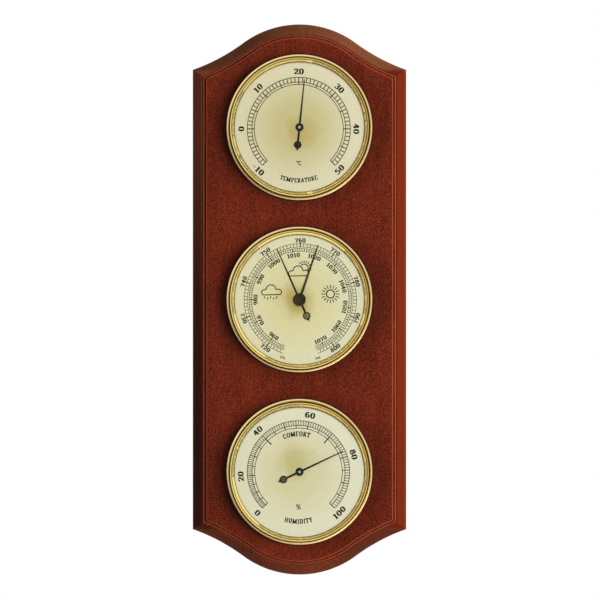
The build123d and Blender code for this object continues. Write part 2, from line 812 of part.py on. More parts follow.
with BuildPart() as stem_lever:
    with BuildSketch(across(baro_height, -lever_width / 2)):
        with Locations((rocker_y, rocker_depth)):
            Circle(rocker_eye_radius)
        with Locations((rocker_y + (lever_arm + lever_overhang) / 2, rocker_depth)):
            Rectangle(lever_arm + lever_overhang, lever_thickness)
        with Locations((rocker_y, rocker_depth)):
            Circle(rocker_radius + seat_clearance, mode=Mode.SUBTRACT)
    extrude(amount=lever_width)
save(stem_lever, "stem_lever")

with BuildPart() as drive_finger:
    finger_length = sector_back - finger_head_gap - rocker_depth
    with BuildSketch(across(baro_height, pin_x - finger_width / 2)):
        with Locations((rocker_y, rocker_depth)):
            Circle(rocker_eye_radius)
        with Locations((rocker_y + finger_y, rocker_depth + finger_length / 2)):
            Rectangle(finger_thickness, finger_length)
        with Locations((rocker_y, rocker_depth)):
            Circle(rocker_radius + seat_clearance, mode=Mode.SUBTRACT)
    extrude(amount=finger_width)
save(drive_finger, "drive_finger")


def tooth_face(teeth):
    # One involute tooth that points along local x, thinned by half the backlash.
    pitch_radius = gear_module * teeth / 2
    base_radius = pitch_radius * cos(radians(gear_pressure_angle))
    tip_radius = pitch_radius + gear_addendum
    root_radius = pitch_radius - gear_dedendum
    flank_start = max(base_radius, root_radius)
    half_tooth = pi / (2 * teeth) - gear_backlash / (2 * pitch_radius)
    upper = []
    for step in range(flank_points):
        radius = flank_start + (tip_radius - flank_start) * step / (flank_points - 1)
        roll = acos(min(1, base_radius / radius))
        pitch_roll = radians(gear_pressure_angle)
        lean = half_tooth + (tan(pitch_roll) - pitch_roll) - (tan(roll) - roll)
        upper.append((radius * cos(lean), radius * sin(lean)))
    lower = [(x, -y) for x, y in upper]
    foot_share = root_radius / flank_start
    foot = (upper[0][0] * foot_share, upper[0][1] * foot_share)
    with BuildSketch(Plane.XY) as face:
        with BuildLine():
            Spline(*upper)
            ThreePointArc(upper[-1], (tip_radius, 0), lower[-1])
            Spline(*lower)
            if foot_share < 1:
                Line(lower[0], (foot[0], -foot[1]))
                Line(upper[0], foot)
            Line(foot, (foot[0], -foot[1]))
        make_face()
    return face.sketch


with BuildPart() as sector_gear:
    sector_root = sector_radius - gear_dedendum
    sector_half_span = sector_step * sector_cut_teeth / 2
    sector_tooth = tooth_face(sector_full_teeth)
    with BuildSketch(facing(baro_height, sector_back, -gear_line_angle - 180, sector_x, rocker_y)):
        Circle(sector_root)
        Circle(sector_root - sector_rim, mode=Mode.SUBTRACT)
        with BuildLine():
            wedge = sector_root / cos(radians(sector_half_span)) ** 2
            PolarLine((0, 0), wedge, sector_half_span)
            PolarLine((0, 0), wedge, -sector_half_span)
            Line(PolarLine((0, 0), wedge, sector_half_span, mode=Mode.PRIVATE) @ 1,
                 PolarLine((0, 0), wedge, -sector_half_span, mode=Mode.PRIVATE) @ 1)
        make_face(mode=Mode.INTERSECT)
        with PolarLocations(0, sector_cut_teeth, start_angle=-sector_step * (sector_cut_teeth - 1) / 2,
                            angular_range=sector_step * sector_cut_teeth):
            add(sector_tooth)
        with Locations(((sector_root - sector_rim / 2) / 2, 0)):
            Rectangle(sector_root - sector_rim / 2, sector_spoke_width)
        Circle(sector_hub_radius)
        Circle(sector_bore_radius, mode=Mode.SUBTRACT)
    extrude(amount=sector_thickness)
    extrude(disc(baro_height, sector_back, sector_pin_radius + seat_clearance, ((pin_x, rocker_y),)),
            amount=sector_thickness, mode=Mode.SUBTRACT)
save(sector_gear, "sector_gear")

with BuildPart() as sector_pin:
    extrude(disc(baro_height, sector_back - sector_pin_drop, sector_pin_radius, ((pin_x, rocker_y),)),
            amount=sector_pin_drop + sector_thickness)
save(sector_pin, "sector_pin")

with BuildPart() as sector_screw:
    sector_spot = ((sector_x, rocker_y),)
    extrude(disc(baro_height, bridge_back, screw_shank_radius - seat_clearance, sector_spot),
            amount=bridge_thickness)
    extrude(disc(baro_height, bridge_front, sector_collar_radius, sector_spot),
            amount=sector_lift - running_clearance)
    extrude(disc(baro_height, bridge_front, sector_bore_radius - running_clearance, sector_spot),
            amount=sector_front + running_clearance - bridge_front)
    extrude(disc(baro_height, sector_front + running_clearance, sector_screw_head_radius, sector_spot),
            amount=sector_screw_head_height)
    with BuildSketch(facing(baro_height, sector_front + running_clearance + sector_screw_head_height)):
        with Locations(*sector_spot):
            Rectangle(2 * sector_screw_head_radius, screw_slot_width)
    extrude(amount=-screw_slot_depth, mode=Mode.SUBTRACT)
save(sector_screw, "sector_screw")

with BuildPart() as baro_arbor:
    baro_tip = hub_front + running_clearance
    cock_shoulder = cock_back - end_shake
    revolve(turned(baro_height, [(0, bridge_back), (arbor_pivot_radius, bridge_back),
                                 (arbor_pivot_radius, bridge_front + end_shake),
                                 (pinion_neck_radius, bridge_front + end_shake),
                                 (pinion_neck_radius, pinion_front),
                                 (hairspring_collet_radius, pinion_front),
                                 (hairspring_collet_radius, cock_shoulder),
                                 (arbor_tip_radius, cock_shoulder), (arbor_tip_radius, baro_tip),
                                 (0, baro_tip)]), axis=spindle(baro_height))
    pinion_tooth = tooth_face(pinion_teeth)
    with BuildSketch(facing(baro_height, pinion_back, -gear_line_angle)):
        Circle(pinion_radius - gear_dedendum)
        with PolarLocations(0, pinion_teeth, start_angle=pinion_step / 2):
            add(pinion_tooth)
    extrude(amount=pinion_length)
save(baro_arbor, "baro_arbor")

with BuildPart() as arbor_cock:
    foot_end = cock_leg_reach + cock_foot_length
    with BuildSketch(section(baro_height)):
        with BuildLine():
            Polyline((cock_leg_reach, bridge_front), (foot_end, bridge_front),
                     (foot_end, bridge_front + cock_thickness),
                     (cock_leg_reach + cock_thickness, bridge_front + cock_thickness),
                     (cock_leg_reach + cock_thickness, cock_front), (-cock_arm_reach, cock_front),
                     (-cock_arm_reach, cock_back), (cock_leg_reach, cock_back), close=True)
        make_face()
    extrude(amount=cock_width / 2, both=True)
    extrude(disc(baro_height, cock_back, arbor_tip_radius + running_clearance), amount=cock_thickness,
            mode=Mode.SUBTRACT)
    extrude(disc(baro_height, bridge_front, screw_shank_radius, (cock_screw_spot,)),
            amount=cock_thickness, mode=Mode.SUBTRACT)
save(arbor_cock, "arbor_cock")

make_screws("cock_screw", baro_height, [cock_screw_spot], bridge_front + cock_thickness,
            bridge_thickness + cock_thickness, False)

with BuildPart() as hairspring:
    extrude(strip_spiral(baro_height, hairspring_back, hairspring_start_radius, hairspring_pitch,
                         hairspring_half_turns, hairspring_strip, hairspring_tail),
            amount=hairspring_width)
save(hairspring, "hairspring")

make_stud("hairspring_stud", baro_height, hairspring_stud_spot, hairspring_stud_radius, bridge_front,
          hairspring_front + hairspring_stud_overlap, hairspring_strip, hairspring_back - seat_clearance)

with BuildPart() as set_hand:
    with BuildSketch(facing(baro_height, set_hand_back, set_rest_angle)):
        with BuildLine():
            Polyline((-set_hand_root_width / 2, 0), (-set_hand_tip_width / 2, set_hand_reach),
                     (set_hand_tip_width / 2, set_hand_reach), (set_hand_root_width / 2, 0), close=True)
        make_face()
    extrude(amount=hand_thickness)
    extrude(disc(baro_height, set_hand_back, set_hub_radius), amount=set_hub_height)
    extrude(disc(baro_height, set_hand_back, set_stem_radius),
            amount=knob_back + set_stem_engagement - set_hand_back)
save(set_hand, "set_hand")

with BuildPart() as knob_washer:
    washer_back = glass_front + running_clearance
    extrude(disc(baro_height, washer_back, set_washer_radius), amount=set_washer_thickness)
    extrude(disc(baro_height, washer_back, set_stem_radius + seat_clearance),
            amount=set_washer_thickness, mode=Mode.SUBTRACT)
save(knob_washer, "knob_washer")

with BuildPart() as set_knob:
    extrude(disc(baro_height, knob_back, set_knob_radius), amount=set_knob_height)
    fillet(set_knob.edges().sort_by(Axis.Y)[0], radius=set_knob_round)
    extrude(disc(baro_height, knob_back + set_knob_height - set_knob_dish, set_knob_radius - set_knob_rim),
            amount=set_knob_dish, mode=Mode.SUBTRACT)
    extrude(disc(baro_height, knob_back, set_stem_radius + seat_clearance),
            amount=set_stem_engagement + seat_clearance, mode=Mode.SUBTRACT)
save(set_knob, "set_knob")
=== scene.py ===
import json
from math import asin, atan2, cos, degrees, hypot, pi, radians, sin, sqrt

import bmesh
import bpy
from mathutils import Matrix, Vector
from mathutils.geometry import interpolate_bezier

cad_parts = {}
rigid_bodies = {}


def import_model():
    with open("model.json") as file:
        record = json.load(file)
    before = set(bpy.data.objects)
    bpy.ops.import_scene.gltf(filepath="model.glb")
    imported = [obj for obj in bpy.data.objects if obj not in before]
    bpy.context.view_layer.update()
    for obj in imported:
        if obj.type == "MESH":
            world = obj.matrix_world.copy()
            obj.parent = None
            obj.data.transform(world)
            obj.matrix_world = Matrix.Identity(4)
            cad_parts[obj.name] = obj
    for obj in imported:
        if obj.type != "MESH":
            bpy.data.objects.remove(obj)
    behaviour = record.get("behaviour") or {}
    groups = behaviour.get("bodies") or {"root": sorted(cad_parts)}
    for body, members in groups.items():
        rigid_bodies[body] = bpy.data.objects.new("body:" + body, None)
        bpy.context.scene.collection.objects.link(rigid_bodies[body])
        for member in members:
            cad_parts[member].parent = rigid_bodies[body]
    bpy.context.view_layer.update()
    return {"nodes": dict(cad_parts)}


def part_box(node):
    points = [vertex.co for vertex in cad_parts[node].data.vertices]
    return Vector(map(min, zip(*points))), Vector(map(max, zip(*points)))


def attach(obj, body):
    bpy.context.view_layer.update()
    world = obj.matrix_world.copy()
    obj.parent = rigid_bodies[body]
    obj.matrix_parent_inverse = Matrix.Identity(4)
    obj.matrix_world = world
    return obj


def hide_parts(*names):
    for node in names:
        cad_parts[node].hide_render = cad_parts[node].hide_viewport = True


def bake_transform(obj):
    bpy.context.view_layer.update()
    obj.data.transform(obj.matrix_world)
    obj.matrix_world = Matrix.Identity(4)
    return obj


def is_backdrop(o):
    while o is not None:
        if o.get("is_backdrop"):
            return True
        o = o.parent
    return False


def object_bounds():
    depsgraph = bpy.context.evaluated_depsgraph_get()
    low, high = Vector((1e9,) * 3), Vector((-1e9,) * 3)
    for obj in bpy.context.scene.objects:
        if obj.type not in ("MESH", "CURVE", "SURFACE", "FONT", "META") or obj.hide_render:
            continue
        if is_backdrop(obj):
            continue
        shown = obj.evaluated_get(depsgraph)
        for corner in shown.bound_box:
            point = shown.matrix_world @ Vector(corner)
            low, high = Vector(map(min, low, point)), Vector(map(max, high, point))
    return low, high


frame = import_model()
for spare in [o for o in bpy.data.objects if o.name in ("Cube", "Camera", "Light")]:
    bpy.data.objects.remove(spare)
print("frame loaded:", len(frame["nodes"]), "nodes")

# Lengths below are millimetres. Depth is counted from the wall towards the viewer (-Y).
mm = 0.001
gaugeNames = ("thermo", "baro", "hygro")


def middle(node):
    low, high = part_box(node)
    return (low + high) / 2 / mm


dialHeights = {gauge: middle(gauge + "_bezel").z for gauge in gaugeNames}
dialFront = -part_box("thermo_dial")[0].y / mm
glassBack = -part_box("thermo_glass")[1].y / mm
glassFront = -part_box("thermo_glass")[0].y / mm


# Shader maths: a wire is a socket, and sums on wires add Math nodes
class Wire:
    def __init__(self, nodes, socket):
        self.nodes, self.socket = nodes, socket

    def __add__(self, other):
        return self.nodes.math("ADD", self, other)

    def __radd__(self, other):
        return self.nodes.math("ADD", other, self)

    def __sub__(self, other):
        return self.nodes.math("SUBTRACT", self, other)

    def __rsub__(self, other):
        return self.nodes.math("SUBTRACT", other, self)

    def __mul__(self, other):
        return self.nodes.math("MULTIPLY", self, other)

    def __rmul__(self, other):
        return self.nodes.math("MULTIPLY", other, self)

    def __truediv__(self, other):
        return self.nodes.math("DIVIDE", self, other)

    def __rtruediv__(self, other):
        return self.nodes.math("DIVIDE", other, self)


class Nodes:
    def __init__(self, tree):
        self.tree = tree
        tree.nodes.clear()

    # settings go on the node first, then values or wires into its sockets
    def add(self, kind, settings=None, sockets=None, out=0):
        node = self.tree.nodes.new("ShaderNode" + kind)
        for key, value in (settings or {}).items():
            if key == "stops":
                for spot, colour in value[:-2]:
                    node.color_ramp.elements.new(spot)
                for stop, (spot, colour) in zip(node.color_ramp.elements, value):
                    stop.position, stop.color = spot, colour
            else:
                setattr(node, key, value)
        for key, value in (sockets or {}).items():
            if isinstance(value, Wire):
                self.tree.links.new(value.socket, node.inputs[key])
            else:
                node.inputs[key].default_value = value
        return Wire(self, node.outputs[out]) if len(node.outputs) else None

    def math(self, operation, first, second=0.0):
        return self.add("Math", {"operation": operation}, {0: first, 1: second})

    def length(self, vector):
        return self.add("VectorMath", {"operation": "LENGTH"}, {0: vector}, "Value")

    def part(self, vector, axis):
        return self.add("SeparateXYZ", {}, {"Vector": vector}, axis)

    # distance from a dial's middle, and bearing clockwise from the top
    def polar(self, right, up):
        return self.math("SQRT", right * right + up * up), self.math("ARCTAN2", right, up)

    def attribute(self, name):
        return self.add("Attribute", {"attribute_name": name}, out="Fac")

    def mix(self, share, first, second, blend="MIX"):
        settings = {"data_type": "RGBA", "blend_type": blend}
        return self.add("Mix", settings, {0: share, 6: first, 7: second}, 2)

    def place(self, offset=(0, 0, 0), scale=(1, 1, 1)):
        spot = self.add("TexCoord", out="Object")
        return self.add("Mapping", {}, {"Vector": spot, "Location": offset, "Scale": scale})

    def noise(self, spot, scale, detail=3.0, roughness=0.55):
        sockets = {"Vector": spot, "Scale": scale, "Detail": detail, "Roughness": roughness}
        return self.add("TexNoise", {}, sockets)

    def ramp(self, share, *stops):
        return self.add("ValToRGB", {"stops": stops}, {"Fac": share})

    # share of the way from low to high, held between 0 and 1
    def between(self, value, low, high):
        return self.add("MapRange", {}, {"Value": value, "From Min": low, "From Max": high})

    def bump(self, height, strength, distance):
        return self.add("Bump", {}, {"Height": height, "Strength": strength, "Distance": distance})

    def surface(self, sockets):
        self.add("OutputMaterial", {}, {"Surface": self.add("BsdfPrincipled", {}, sockets)})


def newLook(name):
    material = bpy.data.materials.new(name)
    material.use_nodes = True
    return material, Nodes(material.node_tree)


# screen colour 0..255 to the linear colour that a shader takes, by the screen's standard curve
def tint(*screen):
    linear = [pow((c / 255 + 0.055) / 1.055, 2.4) if c > 10 else c / 255 / 12.92 for c in screen]
    return (*linear, 1.0)


# Mahogany stain: fine upright pores, a speckle and slow clouds under a satin lacquer. Painted shade
# darkens the feet of the moulding's steps and the panel round the gauges, and painted highlights
# lighten the arrises. On the bevel: the ends are paler in speckled patches, wear with a painted
# sheen; the top end has a painted highlight and the lower end painted shade at its right; the right
# side is a painted deeper orange where the light falls; the left side has painted light above and
# painted shade below.
woodFinish = {
    "dark": tint(62, 20, 10), "mid": tint(100, 35, 19), "light": tint(138, 53, 29),
    # corner is a painted shade tone, the tone after it a painted highlight that also serves as wear on the
    # ends, and crest a painted highlight on the top end
    "corner": tint(44, 15, 6), "lightened": tint(160, 84, 50), "crest": tint(128, 88, 58),
    # warm paints the lit look of the bevel's right side
    "warm": tint(106, 33, 5),
    "noises": {  # scale, detail, roughness, upright stretch, share of the tone
        "pores": (1500, 4, 0.7, 0.045, 0.2),
        "figure": (120, 4, 0.6, 0.12, 0.1),
        "speckle": (1850, 2, 0.55, 1, 0.6),
        "clouds": (14, 2, 0.55, 1, 0.1),
    },
    # the arris share sets the painted highlight on the arrises, and the share after it the painted shade at
    # the feet of the steps
    "toneStops": (0.41, 0.5, 0.59), "arrisShare": 0.75, "creaseShadeShare": 0.8,
    "bevelStart": 9.8, "bevelFull": 11.0,  # depths
    "endStart": 136.5, "endFull": 138.5,  # heights from the board's middle
    # painted light and shade on the bevel: a deeper orange on the right side, light above and shade below on
    # the left, a painted sheen with the wear on the ends, a painted highlight on the top end and painted
    # shade at the right of the lower end
    "warmBase": 0.25, "paleBase": 0.5, "paleRise": 100.0, "duskShare": 0.45, "duskFall": 60.0,
    "wornSheenCut": 0.27, "wornSheenShare": 1.5, "crestCut": 0.6,
    "footStart": 5.0, "footFull": 30.0, "footShare": 0.6,  # shade at the right of the lower end
    "panelStart": 12.0, "panelFull": 17.0,  # depths
    # painted shade on the panel round each gauge: a dark seat by the bezel and a wider halo
    "seatReach": 43.9, "seatFade": 45.4, "haloFade": 52.0,  # from a gauge's middle
    "seatShade": 0.4, "haloShade": 0.34, "haloStretch": 0.88,
    "roughness": 0.32, "roughSpread": 0.2, "specular": 0.06,
    "poreBump": 0.6, "speckleBump": 0.4, "bump": 0.3, "poreDepth": 0.00003,
}


# how far the nearest gauge's middle is; a stretch below 1 counts the sides as nearer
def nearestGauge(n, stretch):
    near = 1.0
    for gauge in gaugeNames:
        flat = n.place(offset=(0, 0, -dialHeights[gauge] * mm), scale=(stretch, 0, 1))
        near = n.math("MINIMUM", near, n.length(flat))
    return near


def woodLook():
    w = woodFinish
    material, n = newLook("mahoganyStain")
    noises, tone = {}, 0
    for name, (scale, detail, rough, stretch, share) in w["noises"].items():
        noises[name] = n.noise(n.place(scale=(1, 1, stretch)), scale, detail, rough)
        tone = tone + noises[name] * share
    pores, speckle, clouds = noises["pores"], noises["speckle"], noises["clouds"]
    colour = n.ramp(tone, *zip(w["toneStops"], (w["dark"], w["mid"], w["light"])))
    edge = n.attribute("edgeTone")
    # painted highlight on the arrises
    colour = n.mix(n.between(edge, 0, 1) * w["arrisShare"], colour, w["lightened"])
    fromMiddle = n.place(offset=(0, 0, -middle("back_board").z * mm))
    right, back, up = [n.part(fromMiddle, axis) for axis in "XYZ"]
    bevel = n.attribute("bevelTone") * n.between(back, -w["bevelStart"] * mm, -w["bevelFull"] * mm)
    far = n.between(n.math("ABSOLUTE", up), w["endStart"] * mm, w["endFull"] * mm)
    ends, sides = bevel * far, bevel * (1 - far)
    upperHalf, rightHalf = n.between(up, -mm, mm), n.between(right, -mm, mm)
    foot, leftSide = ends * (1 - upperHalf), sides * (1 - rightHalf)
    # painted light and shade on the bevel, by side and by end; the ends' paler patches are wear with a
    # painted sheen
    for share, shade in (
        (sides * rightHalf * (speckle + w["warmBase"]), "warm"),
        (leftSide * n.between(up, 0, w["paleRise"] * mm) * (speckle + w["paleBase"]), "lightened"),
        (leftSide * n.between(up, 0, -w["duskFall"] * mm) * w["duskShare"], "corner"),
        (ends * (speckle - w["wornSheenCut"]) * w["wornSheenShare"], "lightened"),
        (ends * upperHalf * (speckle + clouds - w["crestCut"]), "crest"),
        (foot * n.between(right, w["footStart"] * mm, w["footFull"] * mm) * w["footShare"], "corner"),
        # painted shade at the foot of each step
        (n.between(edge, 0, -1) * w["creaseShadeShare"], "corner"),
    ):
        colour = n.mix(share, colour, w[shade])
    # painted shade on the front panel round each gauge
    seat = n.between(nearestGauge(n, 1), w["seatFade"] * mm, w["seatReach"] * mm)
    halo = n.between(nearestGauge(n, w["haloStretch"]), w["haloFade"] * mm, w["seatReach"] * mm)
    front = n.between(back, -w["panelStart"] * mm, -w["panelFull"] * mm)
    shaded = front * (seat * seat * w["seatShade"] + halo * w["haloShade"])
    n.surface({
        "Base Color": n.mix(shaded, colour, w["corner"]),
        "Roughness": w["roughness"] + (pores - 0.5) * w["roughSpread"],
        "Specular IOR Level": w["specular"],
        "Normal": n.bump(pores * w["poreBump"] + speckle * w["speckleBump"], w["bump"], w["poreDepth"]),
    })
    return material


# Satin brass under lacquer, with turning marks that follow the rings and a faint tarnish. Painted shade gives
# more of the worn tone to the right and darkens the bead towards the lower left; a painted highlight pales
# the bead and the inner crest; the grooves and the lip's edge are darkened by tarnish and painted shade.
brassFinish = {
    # the second tone is tarnish, with painted shade to the right; the third darkens grooves and the lip's
    # edge with tarnish and painted shade
    "bright": tint(255, 230, 142), "wornAndShaded": tint(218, 170, 78), "groove": tint(60, 40, 10),
    # bead is a painted highlight tone, and the tone after it its painted shade
    "bead": tint(255, 240, 186), "shadedBead": tint(104, 76, 36),
    "turning": 26000, "smearRound": 3, "smearAcross": 2.4,
    # the share to the right is painted shade
    "halfWidth": 45.0, "smearShare": 0.6, "rightShadeShare": 0.4, "wornShadeFrom": 0.3, "wornShadeFull": 0.8,
    # painted shade on the bead
    "beadShadeFrom": 10.0, "beadShadeFull": 65.0, "beadShadeShare": 0.8,  # right and up, added, towards the lower left
    "beadFrom": 42.05, "beadFull": 42.25,
    # painted lines: a highlight on the inner crest, and tarnish with painted shade in the grooves and at the
    # lip's edge
    "lines": (  # radius, half width, strength and tone
        (39.75, 0.55, 0.75, "bright"), (41.75, 0.45, 1.0, "groove"),
        (40.55, 0.35, 0.7, "groove"), (38.8, 0.4, 0.8, "groove"),
    ),
    "lineCore": 0.4,
    "roughness": 0.16, "smearRough": 0.12, "turningRough": 0.015,
    "turningBump": 0.3, "smearBump": 0.4, "bump": 0.06, "bumpDepth": 0.00003,
}


def brassLook(name, height):
    b = brassFinish
    material, n = newLook(name)
    spot = n.place(offset=(0, 0, -height * mm))
    right, up = n.part(spot, "X"), n.part(spot, "Z")
    reach, bearing = n.polar(right, up)
    turning = n.math("SINE", reach * b["turning"])
    around = n.add("CombineXYZ", {}, {0: bearing * b["smearRound"], 1: reach / mm * b["smearAcross"]})
    smear = n.noise(around, 1.0)
    # painted shade: more of the worn tone towards the right, beside the tarnish smear
    rightward = n.between(right, -b["halfWidth"] * mm, b["halfWidth"] * mm)
    wearAndShade = smear * b["smearShare"] + rightward * b["rightShadeShare"]
    colour = n.mix(n.between(wearAndShade, b["wornShadeFrom"], b["wornShadeFull"]), b["bright"], b["wornAndShaded"])
    # painted highlight on the bead, with painted shade towards its lower left
    lowerLeft = n.between(right + up, -b["beadShadeFrom"] * mm, -b["beadShadeFull"] * mm)
    bead = n.mix(lowerLeft * lowerLeft * b["beadShadeShare"], b["bead"], b["shadedBead"])
    colour = n.mix(n.between(reach, b["beadFrom"] * mm, b["beadFull"] * mm), colour, bead)
    # painted highlight on the inner crest; tarnish and painted shade in the grooves and at the lip's edge
    for radius, half, strength, tone in b["lines"]:
        apart = n.math("ABSOLUTE", reach - radius * mm)
        share = n.between(apart, half * mm, half * mm * b["lineCore"]) * strength
        colour = n.mix(share, colour, b[tone])
    n.surface({
        "Base Color": colour,
        "Metallic": 1.0,
        "Roughness": b["roughness"] + smear * b["smearRough"] + turning * b["turningRough"],
        "Normal": n.bump(turning * b["turningBump"] + smear * b["smearBump"], b["bump"], b["bumpDepth"]),
    })
    return material


# Champagne dial sheet: golden at the middle, paler at the rim, spun to a fine sheen, and paler to the right
# by a painted sheen
dialFinish = {
    "heart": {"thermo": tint(197, 170, 88), "baro": tint(190, 162, 72), "hygro": tint(205, 186, 118)},
    "field": {"thermo": tint(213, 195, 137), "baro": tint(234, 217, 160), "hygro": tint(228, 213, 168)},
    "rim": {"thermo": tint(246, 232, 202), "baro": tint(244, 234, 202), "hygro": tint(246, 238, 214)},
    "spot": {"thermo": (2.0, -3.0), "baro": (-1.5, -0.5), "hygro": (-2.0, 6.5)},  # middle of the gold
    # the last share here is a painted sheen towards the right
    "heartReach": 3.0, "fieldReach": 13.0, "rimReach": 37.0, "rimShare": 0.8, "paintedSheen": 0.3,
    "streakRound": 9, "streakAcross": 40, "streaks": (5, 5, 0.7), "gritScale": 1300, "cloudScale": 110,
    "streakSpread": 10, "cloudSpread": 14, "rimSpread": 0.3,
    "shade": 0.78, "streakShade": 0.14, "gritShade": 0.3,
    "metal": 0.1, "roughness": 0.5, "gritRough": 0.12,
    "gritBump": 0.5, "bump": 0.06, "bumpDepth": 0.00004,
}


def dialLook(gauge, height):
    d = dialFinish
    material, n = newLook(gauge + "Champagne")
    spot = n.place(offset=(0, 0, -height * mm))
    right, up = n.part(spot, "X"), n.part(spot, "Z")
    reach, bearing = n.polar(right, up)
    around = n.add("CombineXYZ", {}, {0: bearing * d["streakRound"], 1: reach * d["streakAcross"]})
    streaks = n.noise(around, *d["streaks"])
    grit = n.noise(spot, d["gritScale"], 2)
    cloud = n.noise(spot, d["cloudScale"])
    ragged = (streaks - 0.5) * d["streakSpread"] + (cloud - 0.5) * d["cloudSpread"]
    heartRight, heartUp = d["spot"][gauge]
    fromHeart = n.place(offset=(-heartRight * mm, 0, -(height + heartUp) * mm), scale=(1, 0, 1))
    outward = n.between(n.length(fromHeart) / mm + ragged, d["heartReach"], d["fieldReach"])
    tone = n.mix(outward, d["heart"][gauge], d["field"][gauge])
    rimward = n.between(reach / mm + ragged * d["rimSpread"], d["fieldReach"], d["rimReach"])
    # painted sheen: more of the rim tone towards the right
    rightward = n.between(right / mm, -d["rimReach"], d["rimReach"])
    tone = n.mix(rimward * d["rimShare"] + rightward * d["paintedSheen"], tone, d["rim"][gauge])
    shade = streaks * d["streakShade"] + grit * d["gritShade"] + d["shade"]
    grey = n.add("CombineColor", {}, {0: shade, 1: shade, 2: shade})
    n.surface({
        "Base Color": n.mix(1.0, tone, grey, "MULTIPLY"),
        "Metallic": d["metal"],
        "Roughness": d["roughness"] + grit * d["gritRough"],
        "Normal": n.bump(streaks + grit * d["gritBump"], d["bump"], d["bumpDepth"]),
    })
    return material


# Dial ink: two near blacks in small patches
inkFinish = {"tones": (tint(8, 8, 6), tint(20, 18, 12)), "grain": 1800, "rough": 0.5, "roughSpread": 0.2,
             "specular": 0.1}


def inkLook():
    material, n = newLook("dialInk")
    patch = n.noise(n.place(), inkFinish["grain"], 2)
    n.surface({
        "Base Color": n.mix(patch, *inkFinish["tones"]),
        "Roughness": inkFinish["rough"] + patch * inkFinish["roughSpread"],
        "Specular IOR Level": inkFinish["specular"],
    })
    return material


def finish(dark, light, rough, metal, grain, bump):
    tones = (tint(*dark), tint(*light))
    return {"tones": tones, "rough": rough, "metal": metal, "grain": grain, "bump": bump}


# Painted, moulded and plated finishes share one build: two tones, a grain with patches and a bump
plainFinishes = {
    "handBlack": finish((9, 9, 6), (20, 18, 11), 0.45, 0.0, 900, 0.05),
    "setHandOlive": finish((40, 42, 22), (60, 62, 36), 0.45, 0.0, 900, 0.05),
    "knobBlack": finish((38, 36, 23), (54, 50, 33), 0.5, 0.0, 1400, 0.1),
    "arborNickel": finish((168, 157, 140), (190, 180, 162), 0.35, 0.3, 900, 0.05),
    "caseBlack": finish((24, 24, 25), (42, 42, 42), 0.5, 0.0, 2200, 0.35),
    "gripRubber": finish((26, 26, 26), (44, 43, 42), 0.75, 0.0, 1500, 0.3),
    "platedSteel": finish((176, 178, 176), (206, 205, 198), 0.3, 1.0, 700, 0.1),
    "springStrip": finish((168, 152, 126), (198, 184, 156), 0.32, 1.0, 800, 0.08),
    "movementBrass": finish((196, 160, 84), (222, 190, 116), 0.3, 1.0, 600, 0.08),
    "capsuleNickel": finish((186, 184, 172), (210, 208, 198), 0.26, 1.0, 500, 0.06),
}
plainBuild = {
    "detail": 3, "grainRough": 0.6, "patchSize": 12, "grainShare": 0.6, "patchShare": 0.4,
    "toneRange": (0.38, 0.62), "roughSpread": 0.2, "specular": 0.15, "bumpDepth": 0.00005,
}


def plainGrain(n, p):
    return n.noise(n.place(), p["grain"], plainBuild["detail"], plainBuild["grainRough"])


def plainSurface(n, p, grain, colour):
    n.surface({
        "Base Color": colour,
        "Metallic": p["metal"],
        "Roughness": p["rough"] + (grain - 0.5) * plainBuild["roughSpread"],
        "Specular IOR Level": plainBuild["specular"],
        "Normal": n.bump(grain, p["bump"], plainBuild["bumpDepth"]),
    })


def plainLook(name):
    p, build = plainFinishes[name], plainBuild
    material, n = newLook(name)
    grain = plainGrain(n, p)
    patch = n.noise(n.place(), p["grain"] / build["patchSize"], 2)
    tone = n.between(grain * build["grainShare"] + patch * build["patchShare"], *build["toneRange"])
    plainSurface(n, p, grain, n.mix(tone, *p["tones"]))
    return material


# Hand paint, rubbed to an olive tone on the ball of the tail
tailFinish = {
    "thermo": tint(30, 27, 12), "hygro": tint(86, 78, 42), "baro": tint(120, 117, 66),
    "ragged": 0.4, "reach": (2.0, 1.6),
}


def handLook(gauge, ballRight, ballUp):
    p = plainFinishes["handBlack"]
    material, n = newLook(gauge + "HandPaint")
    grain = plainGrain(n, p)
    fromBall = n.place(offset=(-ballRight * mm, 0, -ballUp * mm), scale=(1, 0, 1))
    lightened = n.between(n.length(fromBall) / mm + grain * tailFinish["ragged"], *tailFinish["reach"])
    paint = n.mix(n.between(grain, *plainBuild["toneRange"]), *p["tones"])
    plainSurface(n, p, grain, n.mix(lightened, paint, tailFinish[gauge]))
    return material


# Window glass: clear, with a gloss that grows towards the edge of view
glassFinish = {"tone": tint(252, 254, 252), "smearScale": 90, "roughness": 0.02, "smearRough": 0.03,
               "index": 1.45, "gloss": 0.2}


def glassLook():
    g = glassFinish
    material, n = newLook("windowGlass")
    rough = g["roughness"] + n.noise(n.place(), g["smearScale"]) * g["smearRough"]
    clear = n.add("BsdfTransparent", {}, {"Color": g["tone"]})
    gloss = n.add("BsdfGlossy", {}, {"Color": (1, 1, 1, 1), "Roughness": rough})
    sheen = n.add("Fresnel", {}, {"IOR": g["index"]}) * g["gloss"]
    n.add("OutputMaterial", {}, {"Surface": n.add("MixShader", {}, {0: sheen, 1: clear, 2: gloss})})
    return material


wood = woodLook()
brass = {gauge: brassLook(gauge + "Brass", dialHeights[gauge]) for gauge in gaugeNames}
champagne = {gauge: dialLook(gauge, dialHeights[gauge]) for gauge in gaugeNames}
ink = inkLook()
glass = glassLook()
plain = {name: plainLook(name) for name in plainFinishes}
print("finishes ready:", len(bpy.data.materials))

weldGap = 0.0005
mergeGap = 0.001


# Modelling helpers: a bmesh is drawn in millimetres about a dial's own centre
def at(reach, depth, up=0.0):
    return Vector((reach, -depth, up))


